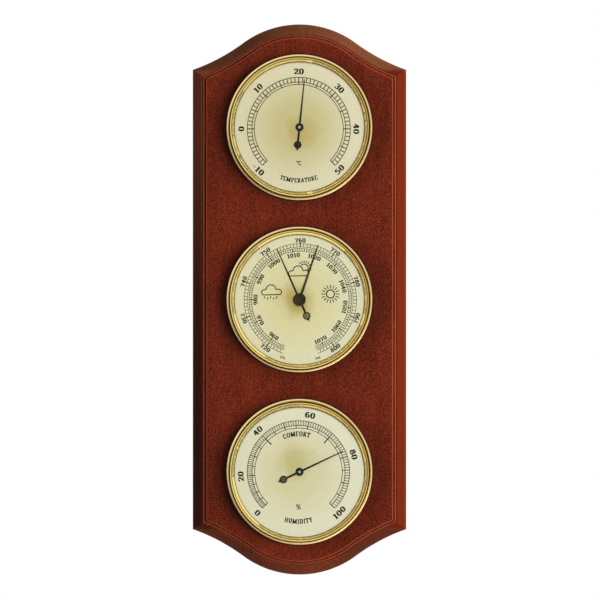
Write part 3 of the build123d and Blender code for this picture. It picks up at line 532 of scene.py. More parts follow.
def lineTo(bm, tip, place):
    tip = bmesh.ops.extrude_vert_indiv(bm, verts=[tip])["verts"][0]
    tip.co = place
    return tip


def lineThrough(bm, tip, places):
    for place in places:
        tip = lineTo(bm, tip, at(*place))
    return tip


def turnTo(bm, tip, centre, axis, angle, steps):
    turned = bmesh.ops.spin(bm, geom=[tip], cent=centre, axis=axis, angle=radians(angle), steps=steps)
    return turned["geom_last"][0]


# turns counter-clockwise in the picture of reach (right) and depth (up)
def sweepTo(bm, tip, centre, angle, steps):
    return turnTo(bm, tip, centre, (0, 0, -1), angle, steps)


# turns clockwise as the viewer sees the dial
def swingTo(bm, tip, centre, angle, steps):
    return turnTo(bm, tip, centre, (0, 1, 0), angle, steps)


def closeLoop(bm, first, last):
    bm.edges.new((last, first))


def lathe(bm, steps):
    geom = bm.verts[:] + bm.edges[:]
    bmesh.ops.spin(bm, geom=geom, cent=(0, 0, 0), axis=(0, 1, 0), angle=2 * pi, steps=steps, use_merge=True)
    tidy(bm)


def tidy(bm):
    bmesh.ops.remove_doubles(bm, verts=bm.verts[:], dist=weldGap)
    bmesh.ops.recalc_face_normals(bm, faces=bm.faces[:])


def makePiece(name, bm, look, body="station", replaced=(), height=0.0, turn=0.0, crease=35):
    bmesh.ops.rotate(bm, cent=(0, 0, 0), matrix=Matrix.Rotation(radians(turn), 3, "Y"), verts=bm.verts[:])
    bmesh.ops.translate(bm, vec=(0, 0, height), verts=bm.verts[:])
    bmesh.ops.scale(bm, vec=(mm, mm, mm), verts=bm.verts[:])
    for face in bm.faces:
        face.smooth = True
    for edge in bm.edges:
        edge.smooth = edge.calc_face_angle(pi) < radians(crease)
    mesh = bpy.data.meshes.new(name)
    bm.to_mesh(mesh)
    bm.free()
    mesh.materials.append(look)
    piece = bpy.data.objects.new(name, mesh)
    bpy.context.scene.collection.objects.link(piece)
    if body:
        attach(piece, body)
    if replaced:
        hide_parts(*replaced)
    return piece


# Camera: square to the board, as far as a long lens stands
cameraView = {
    "frameSize": 359.7,  # height of the picture on the plane below
    "plane": 12.0,  # depth whose scale is kept
    "distance": 3000.0,
    "aimRight": 0.3, "aimUp": -0.3,  # from the middle of the board
    "sensor": 36.0, "farLimit": 100.0,  # farthest that is seen, in metres
}


def makeCamera():
    c = cameraView
    centre = middle("back_board")
    data = bpy.data.cameras.new("photoCamera")
    data.sensor_width = c["sensor"]
    data.lens = c["sensor"] * c["distance"] / c["frameSize"]
    data.clip_end = c["farLimit"]
    camera = bpy.data.objects.new("photoCamera", data)
    spot = Vector((centre.x + c["aimRight"], -c["plane"] - c["distance"], centre.z + c["aimUp"]))
    camera.location = spot * mm
    camera.rotation_euler = (pi / 2, 0, 0)
    bpy.context.scene.collection.objects.link(camera)
    bpy.context.scene.camera = camera


makeCamera()

# Board: crown and flank arcs at each end, a moulded edge and three bores
boardShape = {
    "halfWidth": 64.0, "halfHeight": 165.0,
    "crownHalfWidth": 33.7, "crownRise": 11.1, "shoulderDrop": 27.2,
    "backRound": 0.8, "edgeRound": 1.4, "edgeBevel": 5.4, "baseDepth": 16.2,
    "ledgeInset": 6.3, "ledgeDepth": 17.0, "panelInset": 8.1, "panelDepth": 18.0,
    "arris": 0.3, "roundSteps": 6, "arrisSteps": 4, "roundTone": 0.3, "toneFade": 0.45,
    "crownSteps": 28, "flankSteps": 28,
    "boreRadius": 39.4, "boreSteps": 128, "crease": 25,
}
hangerShape = {
    "plateWidth": 36.0, "plateHeight": 14.4, "plateRise": 1.55, "plateCorner": 2.0, "plateDepth": 1.2,
    "entryRadius": 5.2, "slotHalf": 3.3, "slotRise": 5.0, "pocketDepth": 8.2,
    "cornerSteps": 6, "entrySteps": 32, "slotSteps": 16,
}


# (inset, depth, tone) from the back edge, over the moulding, to the panel;
# tone 1 is a painted highlight on an arris and -1 a painted shade at the foot of a step
def mouldingLine():
    b = boardShape
    line = []

    def corner(inset, depth, radius, start, stop, steps, tone):
        for step in range(steps + 1):
            angle = radians(start + (stop - start) * step / steps)
            line.append((inset + radius * cos(angle), depth + radius * sin(angle), tone))

    corner(b["backRound"], b["backRound"], b["backRound"], 270, 180, b["arrisSteps"], 0)
    bevelFoot = b["baseDepth"] - b["edgeBevel"]
    low = bevelFoot - b["edgeRound"] * (sqrt(2) - 1)
    corner(b["edgeRound"], low, b["edgeRound"], 180, 135, b["roundSteps"], b["roundTone"])
    faded = b["edgeRound"] + b["toneFade"]
    line.append((faded, bevelFoot + faded, 0))
    line.append((b["edgeBevel"], b["baseDepth"], 0))
    for inset, depth in ((b["ledgeInset"], b["ledgeDepth"]), (b["panelInset"], b["panelDepth"])):
        foot = line[-1][1]
        line.append((inset - b["toneFade"], foot, 0))
        line.append((inset, foot, -1))
        corner(inset + b["arris"], depth - b["arris"], b["arris"], 180, 90, b["arrisSteps"], 1)
        line.append((inset + b["arris"] + b["toneFade"], depth, 0))
    return line


# a quarter of the outline, drawn in by inset, from the crown to the middle of the side
def quarterLine(bm, inset, depth):
    b = boardShape
    crown = hypot(b["crownHalfWidth"], b["crownRise"]) ** 2 / (2 * b["crownRise"])
    lean = asin(b["crownHalfWidth"] / crown)
    crownUp = b["halfHeight"] - crown
    toCorner = Vector((b["halfWidth"] - b["crownHalfWidth"], b["crownRise"] - b["shoulderDrop"]))
    outward = Vector((sin(lean), cos(lean)))
    flank = toCorner.length_squared / (2 * outward.dot(toCorner))
    flankRight = (crown + flank) * outward.x
    flankUp = crownUp + (crown + flank) * outward.y
    side = b["halfWidth"] - inset
    drop = sqrt((flank + inset) ** 2 - (flankRight - side) ** 2)
    flankTurn = lean - atan2(flankRight - side, drop)
    first = bm.verts.new(at(0, depth, crownUp + crown - inset))
    tip = swingTo(bm, first, at(0, depth, crownUp), degrees(lean), b["crownSteps"])
    tip = swingTo(bm, tip, at(flankRight, depth, flankUp), -degrees(flankTurn), b["flankSteps"])
    lineTo(bm, tip, at(side, depth))


def circleEdges(bm, radius, depth, up, steps):
    turned = Matrix.Translation(at(0, depth, up)) @ Matrix.Rotation(pi / 2, 4, "X")
    ring = bmesh.ops.create_circle(bm, segments=steps, radius=radius, matrix=turned)["verts"]
    return edgesOf(ring)


def edgesOf(verts):
    kept = set(verts)
    return [e for e in {e for v in verts for e in v.link_edges} if kept.issuperset(e.verts)]


def fillFlat(bm, edges):
    bmesh.ops.triangle_fill(bm, edges=edges, use_beauty=True, normal=(0, -1, 0))


# pushes a loop straight into the board and returns the new loop
def sink(bm, edges, depth):
    pushed = bmesh.ops.extrude_edge_only(bm, edges=edges)["geom"]
    moved = [g for g in pushed if isinstance(g, bmesh.types.BMVert)]
    bmesh.ops.translate(bm, vec=at(0, depth), verts=moved)
    return edgesOf(moved)


def plateEdges(bm, depth, up):
    h = hangerShape
    bend = h["plateCorner"]
    right, top = h["plateWidth"] / 2 - bend, h["plateHeight"] / 2 - bend
    before = set(bm.verts)
    first = tip = bm.verts.new(at(-right, depth, up + top + bend))
    corners = (  # middle of each bend, and the way from there to where it starts
        (right, top, at(0, 0, 1)), (right, -top, at(1, 0)),
        (-right, -top, at(0, 0, -1)), (-right, top, at(-1, 0)),
    )
    for x, z, spoke in corners:
        centre = at(x, depth, up + z)
        tip = lineTo(bm, tip, centre + spoke * bend)
        tip = swingTo(bm, tip, centre, 90, h["cornerSteps"])
    bmesh.ops.remove_doubles(bm, verts=[first, tip], dist=mergeGap)
    return edgesOf([v for v in bm.verts if v not in before])


def pocketEdges(bm, depth, up):
    h = hangerShape
    before = set(bm.verts)
    neck = sqrt(h["entryRadius"] ** 2 - h["slotHalf"] ** 2)
    half = degrees(atan2(h["slotHalf"], neck))
    first = bm.verts.new(at(h["slotHalf"], depth, up + neck))
    tip = swingTo(bm, first, at(0, depth, up), 360 - 2 * half, h["entrySteps"])
    tip = lineTo(bm, tip, at(-h["slotHalf"], depth, up + h["slotRise"]))
    tip = swingTo(bm, tip, at(0, depth, up + h["slotRise"]), 180, h["slotSteps"])
    closeLoop(bm, first, tip)
    return edgesOf([v for v in bm.verts if v not in before])


def makeBoard():
    b, h = boardShape, hangerShape
    centre = middle("back_board").z
    bm = bmesh.new()
    # the outline's tone: painted highlight on the arrises, painted shade at the feet of the steps
    toneLayer = bm.verts.layers.float.new("edgeTone")
    bevelLayer = bm.verts.layers.float.new("bevelTone")
    chains = []
    for inset, depth, tone in mouldingLine():
        before, beforeVerts = set(bm.edges), set(bm.verts)
        quarterLine(bm, inset, depth)
        chains.append([e for e in bm.edges if e not in before])
        onBevel = inset <= b["edgeBevel"] and depth > b["edgeBevel"]  # and not on the back edge
        for vert in bm.verts:
            if vert not in beforeVerts:
                vert[toneLayer] = tone
                vert[bevelLayer] = 1.0 if onBevel else 0.0
    for outer, inner in zip(chains, chains[1:]):
        bmesh.ops.bridge_loops(bm, edges=outer + inner)
    for axis in ("X", "Z"):
        geom = bm.verts[:] + bm.edges[:] + bm.faces[:]
        bmesh.ops.mirror(bm, geom=geom, axis=axis, merge_dist=mergeGap)
    rims = [e for e in bm.edges if e.is_boundary]
    front = [e for e in rims if e.verts[0].co.y < -b["baseDepth"]]
    back = [e for e in rims if e.verts[0].co.y > -b["baseDepth"]]
    for gauge in gaugeNames:
        up = dialHeights[gauge] - centre
        near = circleEdges(bm, b["boreRadius"], b["panelDepth"], up, b["boreSteps"])
        far = circleEdges(bm, b["boreRadius"], 0, up, b["boreSteps"])
        bmesh.ops.bridge_loops(bm, edges=near + far)
        front += near
        back += far
    seat = plateEdges(bm, 0, h["plateRise"] - centre)
    back += seat
    fillFlat(bm, front)
    fillFlat(bm, back)
    seatFloor = sink(bm, seat, h["plateDepth"])
    pocket = pocketEdges(bm, h["plateDepth"], -centre)
    fillFlat(bm, seatFloor + pocket)
    fillFlat(bm, sink(bm, pocket, h["pocketDepth"] - h["plateDepth"]))
    tidy(bm)
    makePiece("mouldedBoard", bm, wood, replaced=("back_board",), height=centre,
              crease=b["crease"])


makeBoard()
print("board done")

# Bezel: outer bead on the wood, a drum, a rounded shoulder and an inner bead over the glass
bezelShape = {
    "steps": 224, "beadSteps": 14, "shoulderSteps": 10, "outerBeadSteps": 20, "crease": 30,
    "lip": 38.7, "lipEdge": 0.5,
    "innerBeadWidth": 1.9, "innerBeadRise": 0.6, "skin": 0.6, "step": 0.4,
    "drumRadius": 42.15, "outerBead": 0.8,
    "bore": 40.95, "crimpIn": 39.75, "crimpDepth": 0.6, "foot": 18.0,
}


def makeBezel(gauge):
    b = bezelShape
    shoulderReach = b["lip"] + b["innerBeadWidth"]
    shoulderTop = glassFront + b["skin"]
    shoulder = b["drumRadius"] - shoulderReach
    beadLow, beadHigh = glassFront + b["lipEdge"], shoulderTop + b["step"]
    crest = at(b["lip"] + b["innerBeadWidth"] / 2, beadHigh + b["innerBeadRise"])
    outerTop, crimpTop = b["foot"] + b["outerBead"], b["foot"] + b["crimpDepth"]
    bm = bmesh.new()
    first = bm.verts.new(at(b["lip"], glassFront))
    tip = lineTo(bm, first, at(b["lip"], beadLow))
    centre, turn = threePoint(tip.co, crest, at(shoulderReach, beadHigh))
    tip = sweepTo(bm, tip, centre, turn, b["beadSteps"])
    tip = lineTo(bm, tip, at(shoulderReach, shoulderTop))
    tip = sweepTo(bm, tip, at(shoulderReach, shoulderTop - shoulder), -90, b["shoulderSteps"])
    tip = lineTo(bm, tip, at(b["drumRadius"], outerTop))
    tip = sweepTo(bm, tip, at(b["drumRadius"] + b["outerBead"], outerTop), -270, b["outerBeadSteps"])
    tip = lineThrough(bm, tip, ((b["crimpIn"], b["foot"]), (b["crimpIn"], crimpTop), (b["bore"], crimpTop),
                                (b["bore"], glassFront)))
    closeLoop(bm, first, tip)
    lathe(bm, b["steps"])
    makePiece(gauge + "BezelRing", bm, brass[gauge], replaced=(gauge + "_bezel",),
              height=dialHeights[gauge], crease=b["crease"])


# centre of the arc through three places, and the turn from the first to the last
def threePoint(first, second, last):
    ax, ay, bx, by, cx, cy = first.x, first.y, second.x, second.y, last.x, last.y
    d = 2 * (ax * (by - cy) + bx * (cy - ay) + cx * (ay - by))
    a2, b2, c2 = ax * ax + ay * ay, bx * bx + by * by, cx * cx + cy * cy
    centre = Vector(((a2 * (by - cy) + b2 * (cy - ay) + c2 * (ay - by)) / d,
                     (a2 * (cx - bx) + b2 * (ax - cx) + c2 * (bx - ax)) / d, 0))
    begin = atan2(-(first.y - centre.y), first.x - centre.x)
    end = atan2(-(last.y - centre.y), last.x - centre.x)
    return centre, degrees(end - begin)


for gauge in gaugeNames:
    makeBezel(gauge)
print("bezels done")

# Dial sheet and window glass, turned discs with eased edges
discShape = {"dialRadius": 40.9, "dialThickness": 0.4, "dialHole": 1.8, "dialEase": 0.05,
             "glassRadius": 40.65, "glassEase": 0.25, "stemHole": 1.55, "steps": 160}


def turnedDisc(radius, hole, back, front, ease):
    bm = bmesh.new()
    first = bm.verts.new(at(hole, back))
    tip = lineThrough(bm, first, ((radius - ease, back), (radius, back + ease), (radius, front - ease),
                                  (radius - ease, front), (hole, front)))
    if hole:
        closeLoop(bm, first, tip)
    lathe(bm, discShape["steps"])
    return bm


for gauge in gaugeNames:
    s = discShape
    bm = turnedDisc(s["dialRadius"], s["dialHole"], dialFront - s["dialThickness"], dialFront, s["dialEase"])
    makePiece(gauge + "DialSheet", bm, champagne[gauge], replaced=(gauge + "_dial",),
              height=dialHeights[gauge])
    hole = s["stemHole"] if gauge == "baro" else 0
    bm = turnedDisc(s["glassRadius"], hole, glassBack, glassFront, s["glassEase"])
    makePiece(gauge + "Window", bm, glass, replaced=(gauge + "_glass",),
              height=dialHeights[gauge])
print("dials and glasses done")

# Lettering: each letter's width and pen strokes, in hundredths of its height, right and up.
# l is straight, s is smooth, o is a closed curve.
glyphs = {
    "0": (62, "o 31,97 9,50 31,3 53,50"),
    "1": (50, "l 27,0 27,100; l 7,80 27,97; l 6,2 48,2"),
    "2": (60, "s 10,72 15,90 30,97 47,88 50,70 38,47 20,24 6,5; l 5,6 54,6; l 54,4 56,20"),
    "3": (60, "s 10,78 16,92 30,97 46,88 47,70 36,56 22,52; s 22,52 42,47 52,28 44,10 28,3 12,8 7,22"),
    "4": (62, "l 42,0 42,100; l 42,98 4,30; l 3,28 60,28; l 27,2 57,2"),
    "5": (60, "l 13,93 50,93; l 14,95 11,52; s 11,52 25,60 43,54 52,32 44,11 28,3 12,8 6,20"),
    "6": (62, "s 50,84 42,95 28,94 13,75 9,40 16,11 31,3 47,12 53,31 45,51 31,57 16,48 9,34"),
    "7": (58, "l 5,92 54,92; l 5,94 6,76; s 53,92 38,60 29,30 26,0"),
    "8": (62, "o 31,97 14,76 31,54 48,76; o 31,54 9,28 31,3 53,28"),
    "9": (62, "s 12,16 20,5 34,6 49,25 53,60 46,89 31,97 15,88 9,69 17,49 31,43 46,52 53,66"),
    "-": (46, "l 5,38 40,38"),
    "°": (34, "o 16,98 5,86 16,74 27,86"),
    "%": (90, "o 22,97 6,75 22,53 38,75; l 72,100 18,0; o 68,47 52,25 68,3 84,25"),
    "A": (70, "l 8,2 34,98; l 34,100 60,2; l 17,34 50,34; l 0,2 18,2; l 48,2 70,2"),
    "C": (66, "s 56,72 48,91 33,97 16,84 9,50 16,16 33,3 49,10 58,27"),
    "D": (70, "l 16,0 16,100; l 2,97 30,97; l 2,3 30,3; s 28,97 48,88 60,50 48,12 28,3"),
    "E": (62, "l 16,0 16,100; l 2,97 54,97; l 2,3 56,3; l 16,50 42,50; l 54,98 54,78; l 56,2 56,22"),
    "F": (58, "l 16,0 16,100; l 2,97 54,97; l 16,50 42,50; l 54,98 54,78; l 2,2 32,2"),
    "H": (76, "l 15,0 15,100; l 59,0 59,100; l 15,50 59,50; l 2,2 28,2; l 2,98 28,98; l 46,2 72,2; "
              "l 46,98 72,98"),
    "I": (36, "l 18,0 18,100; l 3,2 33,2; l 3,98 33,98"),
    "M": (94, "l 13,0 13,100; l 15,98 45,5; l 46,5 76,98; l 79,0 79,100; l 0,2 26,2; l 65,2 92,2"),
    "O": (72, "o 36,97 10,50 36,3 62,50"),
    "P": (62, "l 16,0 16,100; l 2,97 30,97; l 16,48 30,48; s 28,97 46,90 52,73 45,55 28,48; l 2,2 32,2"),
    "R": (68, "l 16,0 16,100; l 2,97 30,97; l 16,50 30,50; s 28,97 46,90 52,74 45,57 28,50; l 34,50 58,2; "
              "l 2,2 32,2; l 50,2 68,2"),
    "T": (62, "l 31,0 31,100; l 4,97 58,97; l 5,98 5,76; l 57,98 57,76; l 17,2 45,2"),
    "U": (70, "l 15,100 15,30; s 15,32 20,10 35,3 50,11 55,32; l 55,30 55,100; l 2,98 28,98; l 44,98 66,98"),
    "Y": (68, "l 10,98 34,46; l 58,98 34,46; l 34,0 34,48; l 0,98 20,98; l 48,98 68,98; l 20,2 48,2"),
    "a": (56, "s 10,50 20,62 34,60 41,45 41,6; s 41,38 20,32 9,17 18,4 34,8 42,20; l 40,4 54,4"),
    "h": (60, "l 14,0 14,100; s 14,44 25,60 39,57 45,40 45,0; l 2,2 26,2; l 34,2 57,2"),
    "m": (90, "l 14,0 14,62; s 14,44 24,60 37,57 43,40 43,0; s 43,44 53,60 67,57 73,40 73,0; l 2,2 86,2"),
}
# the pen is broad on upright strokes and fine on level ones
pens = {"bold": (0.26, 0.13), "word": (0.24, 0.11), "book": (0.22, 0.13), "thin": (0.13, 0.1)}
lettering = {
    "unit": 100, "gap": 0.12, "handle": 0.36, "runSteps": 7, "penPower": 1.5, "arcLeast": 8,
    "arcStep": 2, "upsideDown": 95,  # degrees
    "inkStand": 0.02, "inkFilm": 0.03,  # the film starts a little below the dial's face
}
inkFront = dialFront + lettering["inkStand"]
inkCache = {}


def glyphWidth(letter):
    return glyphs[letter][0] / lettering["unit"]


def glyphStrokes(letter):
    for stroke in glyphs[letter][1].split("; "):
        kind, *places = stroke.split()
        yield (kind, *[[int(part) / lettering["unit"] for part in place.split(",")] for place in places])


# handles that point along the neighbours make a smooth run through the points
def smoothRun(points, closed):
    places = [Vector((x, z, 0)) for x, z in points]
    count = len(places)
    run = []
    for i in range(count if closed else count - 1):
        a, b = places[i], places[(i + 1) % count]
        before = places[i - 1] if closed or i else a
        after = places[(i + 2) % count] if closed or i + 2 < count else b
        reach = (b - a).length * lettering["handle"]
        aim = (b - before).normalized() * reach
        meet = (after - a).normalized() * reach
        run += interpolate_bezier(a, a + aim, b - meet, b, lettering["runSteps"])[:-1]
    return run + [places[0] if closed else places[-1]]


# one pen stroke as a flat ribbon: a curve tipped on its side, as wide as the pen is there
def strokeMesh(kind, points, pen):
    run = [Vector((x, z, 0)) for x, z in points] if kind == "l" else smoothRun(points, kind == "o")
    broad, fine = pen
    curve = bpy.data.curves.new("stroke", "CURVE")
    curve.dimensions = "3D"
    curve.twist_mode = "Z_UP"
    curve.extrude = 0.5  # half the width, so that a point's radius is the width there
    spline = curve.splines.new("POLY")
    closed = kind == "o"
    places = run[:-1] if closed else run
    spline.points.add(len(places) - 1)
    spline.use_cyclic_u = closed
    for i, place in enumerate(places):
        ahead = places[(i + 1) % len(places)] if closed or i + 1 < len(places) else place
        behind = places[i - 1] if closed or i else place
        aim = (ahead - behind).normalized()
        spline.points[i].co = (*place, 1)
        spline.points[i].radius = fine + (broad - fine) * abs(aim.y) ** lettering["penPower"]
        spline.points[i].tilt = pi / 2
    holder = bpy.data.objects.new("stroke", curve)
    mesh = bpy.data.meshes.new_from_object(holder)
    bpy.data.objects.remove(holder)
    bpy.data.curves.remove(curve)
    return mesh


# strokes turned to face the viewer and placed on the dial
def addStrokes(bm, strokes, pen, placed):
    upright = Matrix.Rotation(pi / 2, 4, "X")
    for kind, *points in strokes:
        mesh = strokeMesh(kind, points, pen)
        mesh.transform(placed @ upright)
        bm.from_mesh(mesh)
        bpy.data.meshes.remove(mesh)


def glyphMesh(letter, penName):
    if (letter, penName) not in inkCache:
        bm = bmesh.new()
        addStrokes(bm, glyphStrokes(letter), pens[penName], Matrix.Identity(4))
        mesh = bpy.data.meshes.new("glyph")
        bm.to_mesh(mesh)
        bm.free()
        inkCache[letter, penName] = mesh
    return inkCache[letter, penName]


# sets words along an arc; flipped words have their feet outwards
def addWords(bm, words, bearing, reach, size, penName, flip=False, stretch=1.0):
    widths = [glyphWidth(letter) + lettering["gap"] for letter in words]
    along = -sum(widths) / 2
    for letter, width in zip(words, widths):
        middleAlong = (along + width / 2) * size * stretch
        along += width
        turn = bearing + degrees(middleAlong / reach) * (-1 if flip else 1)
        placed = Matrix.Rotation(radians(turn), 4, "Y") @ Matrix.Translation(at(0, 0, reach))
        if flip:
            placed = placed @ Matrix.Rotation(pi, 4, "Y")
        centred = Matrix.Translation(at(-glyphWidth(letter) / 2, 0, -0.5))
        placed = placed @ Matrix.Diagonal((size * stretch, 1, size, 1)) @ centred
        start = len(bm.verts)
        bm.from_mesh(glyphMesh(letter, penName))
        bm.verts.ensure_lookup_table()
        bmesh.ops.transform(bm, matrix=placed, verts=bm.verts[start:])


def addArc(bm, reach, width, fromBearing, toBearing):
    turn = Matrix.Rotation(radians(fromBearing), 3, "Y")
    low = bm.verts.new(turn @ at(0, 0, reach - width / 2))
    high = bm.verts.new(turn @ at(0, 0, reach + width / 2))
    edge = bm.edges.new((low, high))
    sweep = toBearing - fromBearing
    steps = max(lettering["arcLeast"], round(abs(sweep) / lettering["arcStep"]))
    geom = [low, high, edge]
    bmesh.ops.spin(bm, geom=geom, cent=(0, 0, 0), axis=(0, 1, 0), angle=radians(sweep), steps=steps)


def addTick(bm, bearing, fromReach, toReach, width):
    size = Matrix.Diagonal((width / 2, 1, (toReach - fromReach) / 2, 1))
    centred = Matrix.Translation(at(0, 0, (fromReach + toReach) / 2))
    placed = Matrix.Rotation(radians(bearing), 4, "Y") @ centred
    flat = Matrix.Rotation(pi / 2, 4, "X")
    bmesh.ops.create_grid(bm, x_segments=1, y_segments=1, size=1, matrix=placed @ size @ flat)


def addNumber(bm, scale, value, bearing):
    flip = abs(bearing) > lettering["upsideDown"]
    addWords(bm, str(value), bearing, scale["numberReach"], scale["numberSize"], "bold", flip,
             scale["numberStretch"])


def tickWidth(scale, value):
    return scale["tenTick"] if value % 10 == 0 else scale["fiveTick"] if value % 5 == 0 else scale["tick"]


# three circles, with a tick from the outer one to the next at each value, or to the inner one at fives
def addScale(bm, scale, bearingOf):
    outer, short, long = scale["circles"]
    ends = (scale["values"][0], scale["values"][-1])
    for reach in scale["circles"]:
        addArc(bm, reach, scale["circleWidth"], *[bearingOf(value) for value in ends])
    for value in scale["values"]:
        width = scale["endTick"] if value in ends else tickWidth(scale, value)
        addTick(bm, bearingOf(value), long if value % 5 == 0 else short, outer, width)
        if value % scale["numberEvery"] == 0:
            addNumber(bm, scale, value, bearingOf(value))


# the unit and the word at the foot of a dial
def addFoot(bm, scale):
    addWords(bm, scale["unit"], 180, scale["unitDrop"], scale["unitSize"], scale["unitPen"], True)
    addWords(bm, scale["word"], 180, scale["wordReach"], scale["wordSize"], "word", True)


# gives the flat print its film of ink and fixes it on the dial
def makePrint(name, bm, gauge, shift):
    bmesh.ops.translate(bm, vec=at(shift[0], inkFront, shift[1]), verts=bm.verts[:])
    bmesh.ops.recalc_face_normals(bm, faces=bm.faces[:])
    back = [f for f in bm.faces if f.normal.y > 0]
    bmesh.ops.reverse_faces(bm, faces=back)
    bmesh.ops.solidify(bm, geom=bm.faces[:], thickness=lettering["inkFilm"])
    makePiece(name, bm, ink, height=dialHeights[gauge])


# Thermometer scale: 270 degrees for 60 degrees Celsius, 20 at the top
thermoScale = {
    "values": range(-10, 51), "top": 20, "perDegree": 4.5,
    "shift": (-0.4, -1.0),  # the print lies a little low
    "circles": (30.8, 28.0, 26.6), "circleWidth": 0.42,
    "tick": 0.5, "fiveTick": 0.55, "tenTick": 0.62, "endTick": 0.55,
    "numberEvery": 10, "numberReach": 34.4, "numberSize": 3.3, "numberStretch": 1.3,
    "unit": "°C", "unitDrop": 20.5, "unitSize": 2.5, "unitPen": "book",
    "word": "TEMPERATURE", "wordReach": 30.8, "wordSize": 2.6,
}


def thermoBearing(value):
    return (value - thermoScale["top"]) * thermoScale["perDegree"]


def printThermo():
    bm = bmesh.new()
    addScale(bm, thermoScale, thermoBearing)
    addFoot(bm, thermoScale)
    makePrint("thermoPrint", bm, "thermo", thermoScale["shift"])


# Hygrometer scale: open in the middle, closed up at the dry end
hygroScale = {
    "values": range(101), "sweep": 270, "curve": (0.65, 0.5375, -0.1875), "shift": (-0.6, -0.1),
    "circles": (30.6, 27.8, 26.2), "circleWidth": 0.4,
    "tick": 0.38, "fiveTick": 0.48, "tenTick": 0.58, "endTick": 0.58,
    "rangeMarks": (40, 70), "rangeReach": 23.0, "rangeWidth": 0.7,
    "numberEvery": 20, "numberReach": 34.6, "numberSize": 3.3, "numberStretch": 1.3,
    "rangeWord": "COMFORT", "rangeWordReach": 22.8, "rangeWordBearing": -3.0, "rangeWordSize": 2.9,
    "unit": "%", "unitDrop": 20.9, "unitSize": 3.2, "unitPen": "thin",
    "word": "HUMIDITY", "wordReach": 29.6, "wordSize": 2.8,
}


def hygroBearing(percent):
    share = percent / 100
    a, b, c = hygroScale["curve"]
    return hygroScale["sweep"] * (a * share + b * share**2 + c * share**3 - 0.5)


def printHygro():
    h = hygroScale
    bm = bmesh.new()
    addScale(bm, h, hygroBearing)
    for value in h["rangeMarks"]:
        addTick(bm, hygroBearing(value), h["rangeReach"], h["circles"][1], h["rangeWidth"])
    addWords(bm, h["rangeWord"], h["rangeWordBearing"], h["rangeWordReach"], h["rangeWordSize"], "word")
    addFoot(bm, h)
    makePrint("hygroPrint", bm, "hygro", h["shift"])


# Barometer scales: millimetres of mercury outside, hectopascals inside
baroScale = {
    "circles": (33.6, 31.6, 30.7, 29.1), "circleWidth": 0.3, "halfSweep": 162, "shift": (0.5, -0.2),
    "mercury": {"top": 760, "perUnit": 3.6, "from": 31.6, "to": 33.6, "heavyTo": 34.2,
                "numbers": range(720, 801, 10), "numberReach": 35.6, "numberSize": 2.5, "numberStretch": 1.2},
    "pascal": {"top": 1013.25, "perUnit": 2.7, "from": 30.7, "to": 29.1, "heavyTo": 28.5,
               "numbers": range(960, 1071, 10), "numberReach": 26.9, "numberSize": 2.4, "numberStretch": 1.2},
    "tick": 0.34, "fiveTick": 0.42, "tenTick": 0.65,
    "units": (("hPa", -163), ("mm", 163)), "unitReach": 36.0, "unitSize": 1.5,
}


def printBaro():
    b = baroScale
    bm = bmesh.new()
    for reach in b["circles"]:
        addArc(bm, reach, b["circleWidth"], -b["halfSweep"], b["halfSweep"])
    for scale in (b["mercury"], b["pascal"]):
        span = b["halfSweep"] / scale["perUnit"]
        for value in range(round(scale["top"] - span + 0.5), round(scale["top"] + span - 0.5) + 1):
            bearing = (value - scale["top"]) * scale["perUnit"]
            reaches = sorted((scale["from"], scale["heavyTo"] if value % 10 == 0 else scale["to"]))
            addTick(bm, bearing, *reaches, tickWidth(b, value))
        for value in scale["numbers"]:
            addNumber(bm, scale, value, (value - scale["top"]) * scale["perUnit"])
    for unit, bearing in b["units"]:
        addWords(bm, unit, bearing, b["unitReach"], b["unitSize"], "book", True)
    makePrint("baroPrint", bm, "baro", b["shift"])


# Weather signs of plain outline: a shower cloud, a cloud before the sun, and the sun
weatherSigns = {
    "pen": (0.6, 0.6), "sunPen": (0.7, 0.7), "rayPen": (0.55, 0.55),
    "cloud": ((-5.4, -2.2), (-6.1, -0.4), (-4.9, 0.9), (-3.6, 1.0), (-2.6, 3.0), (-0.2, 3.9), (1.9, 2.8),
              (2.5, 1.2), (4.3, 1.3), (5.8, 0.0), (5.3, -1.9)),
    "rainSpot": (-16.6, 4.9), "dropSlant": (-0.6, -1.3),
    "rainDrops": ((-4, -3.0), (-2.2, -3.6), (-0.4, -3.0), (1.4, -3.6), (3.2, -3.0)),
    "mixedSpot": (-0.4, 16.2), "halfSun": (3.2, 2.6, 2.4), "halfSunBow": range(-50, 131, 30),
    "halfSunRays": (-40, 100), "halfSunRayCount": 8, "halfSunRayFrom": 0.8, "halfSunRayTo": 2.0,
    "sunSpot": (18.5, 3.3), "sunRadius": 2.45, "rayFrom": 3.3, "rayTo": 5.5, "rayCount": 16,
}


def spotAt(x, z, bearing, reach):
    return (x + sin(radians(bearing)) * reach, z + cos(radians(bearing)) * reach)


def rayStroke(x, z, bearing, fromReach, toReach):
    return ("l", spotAt(x, z, bearing, fromReach), spotAt(x, z, bearing, toReach))


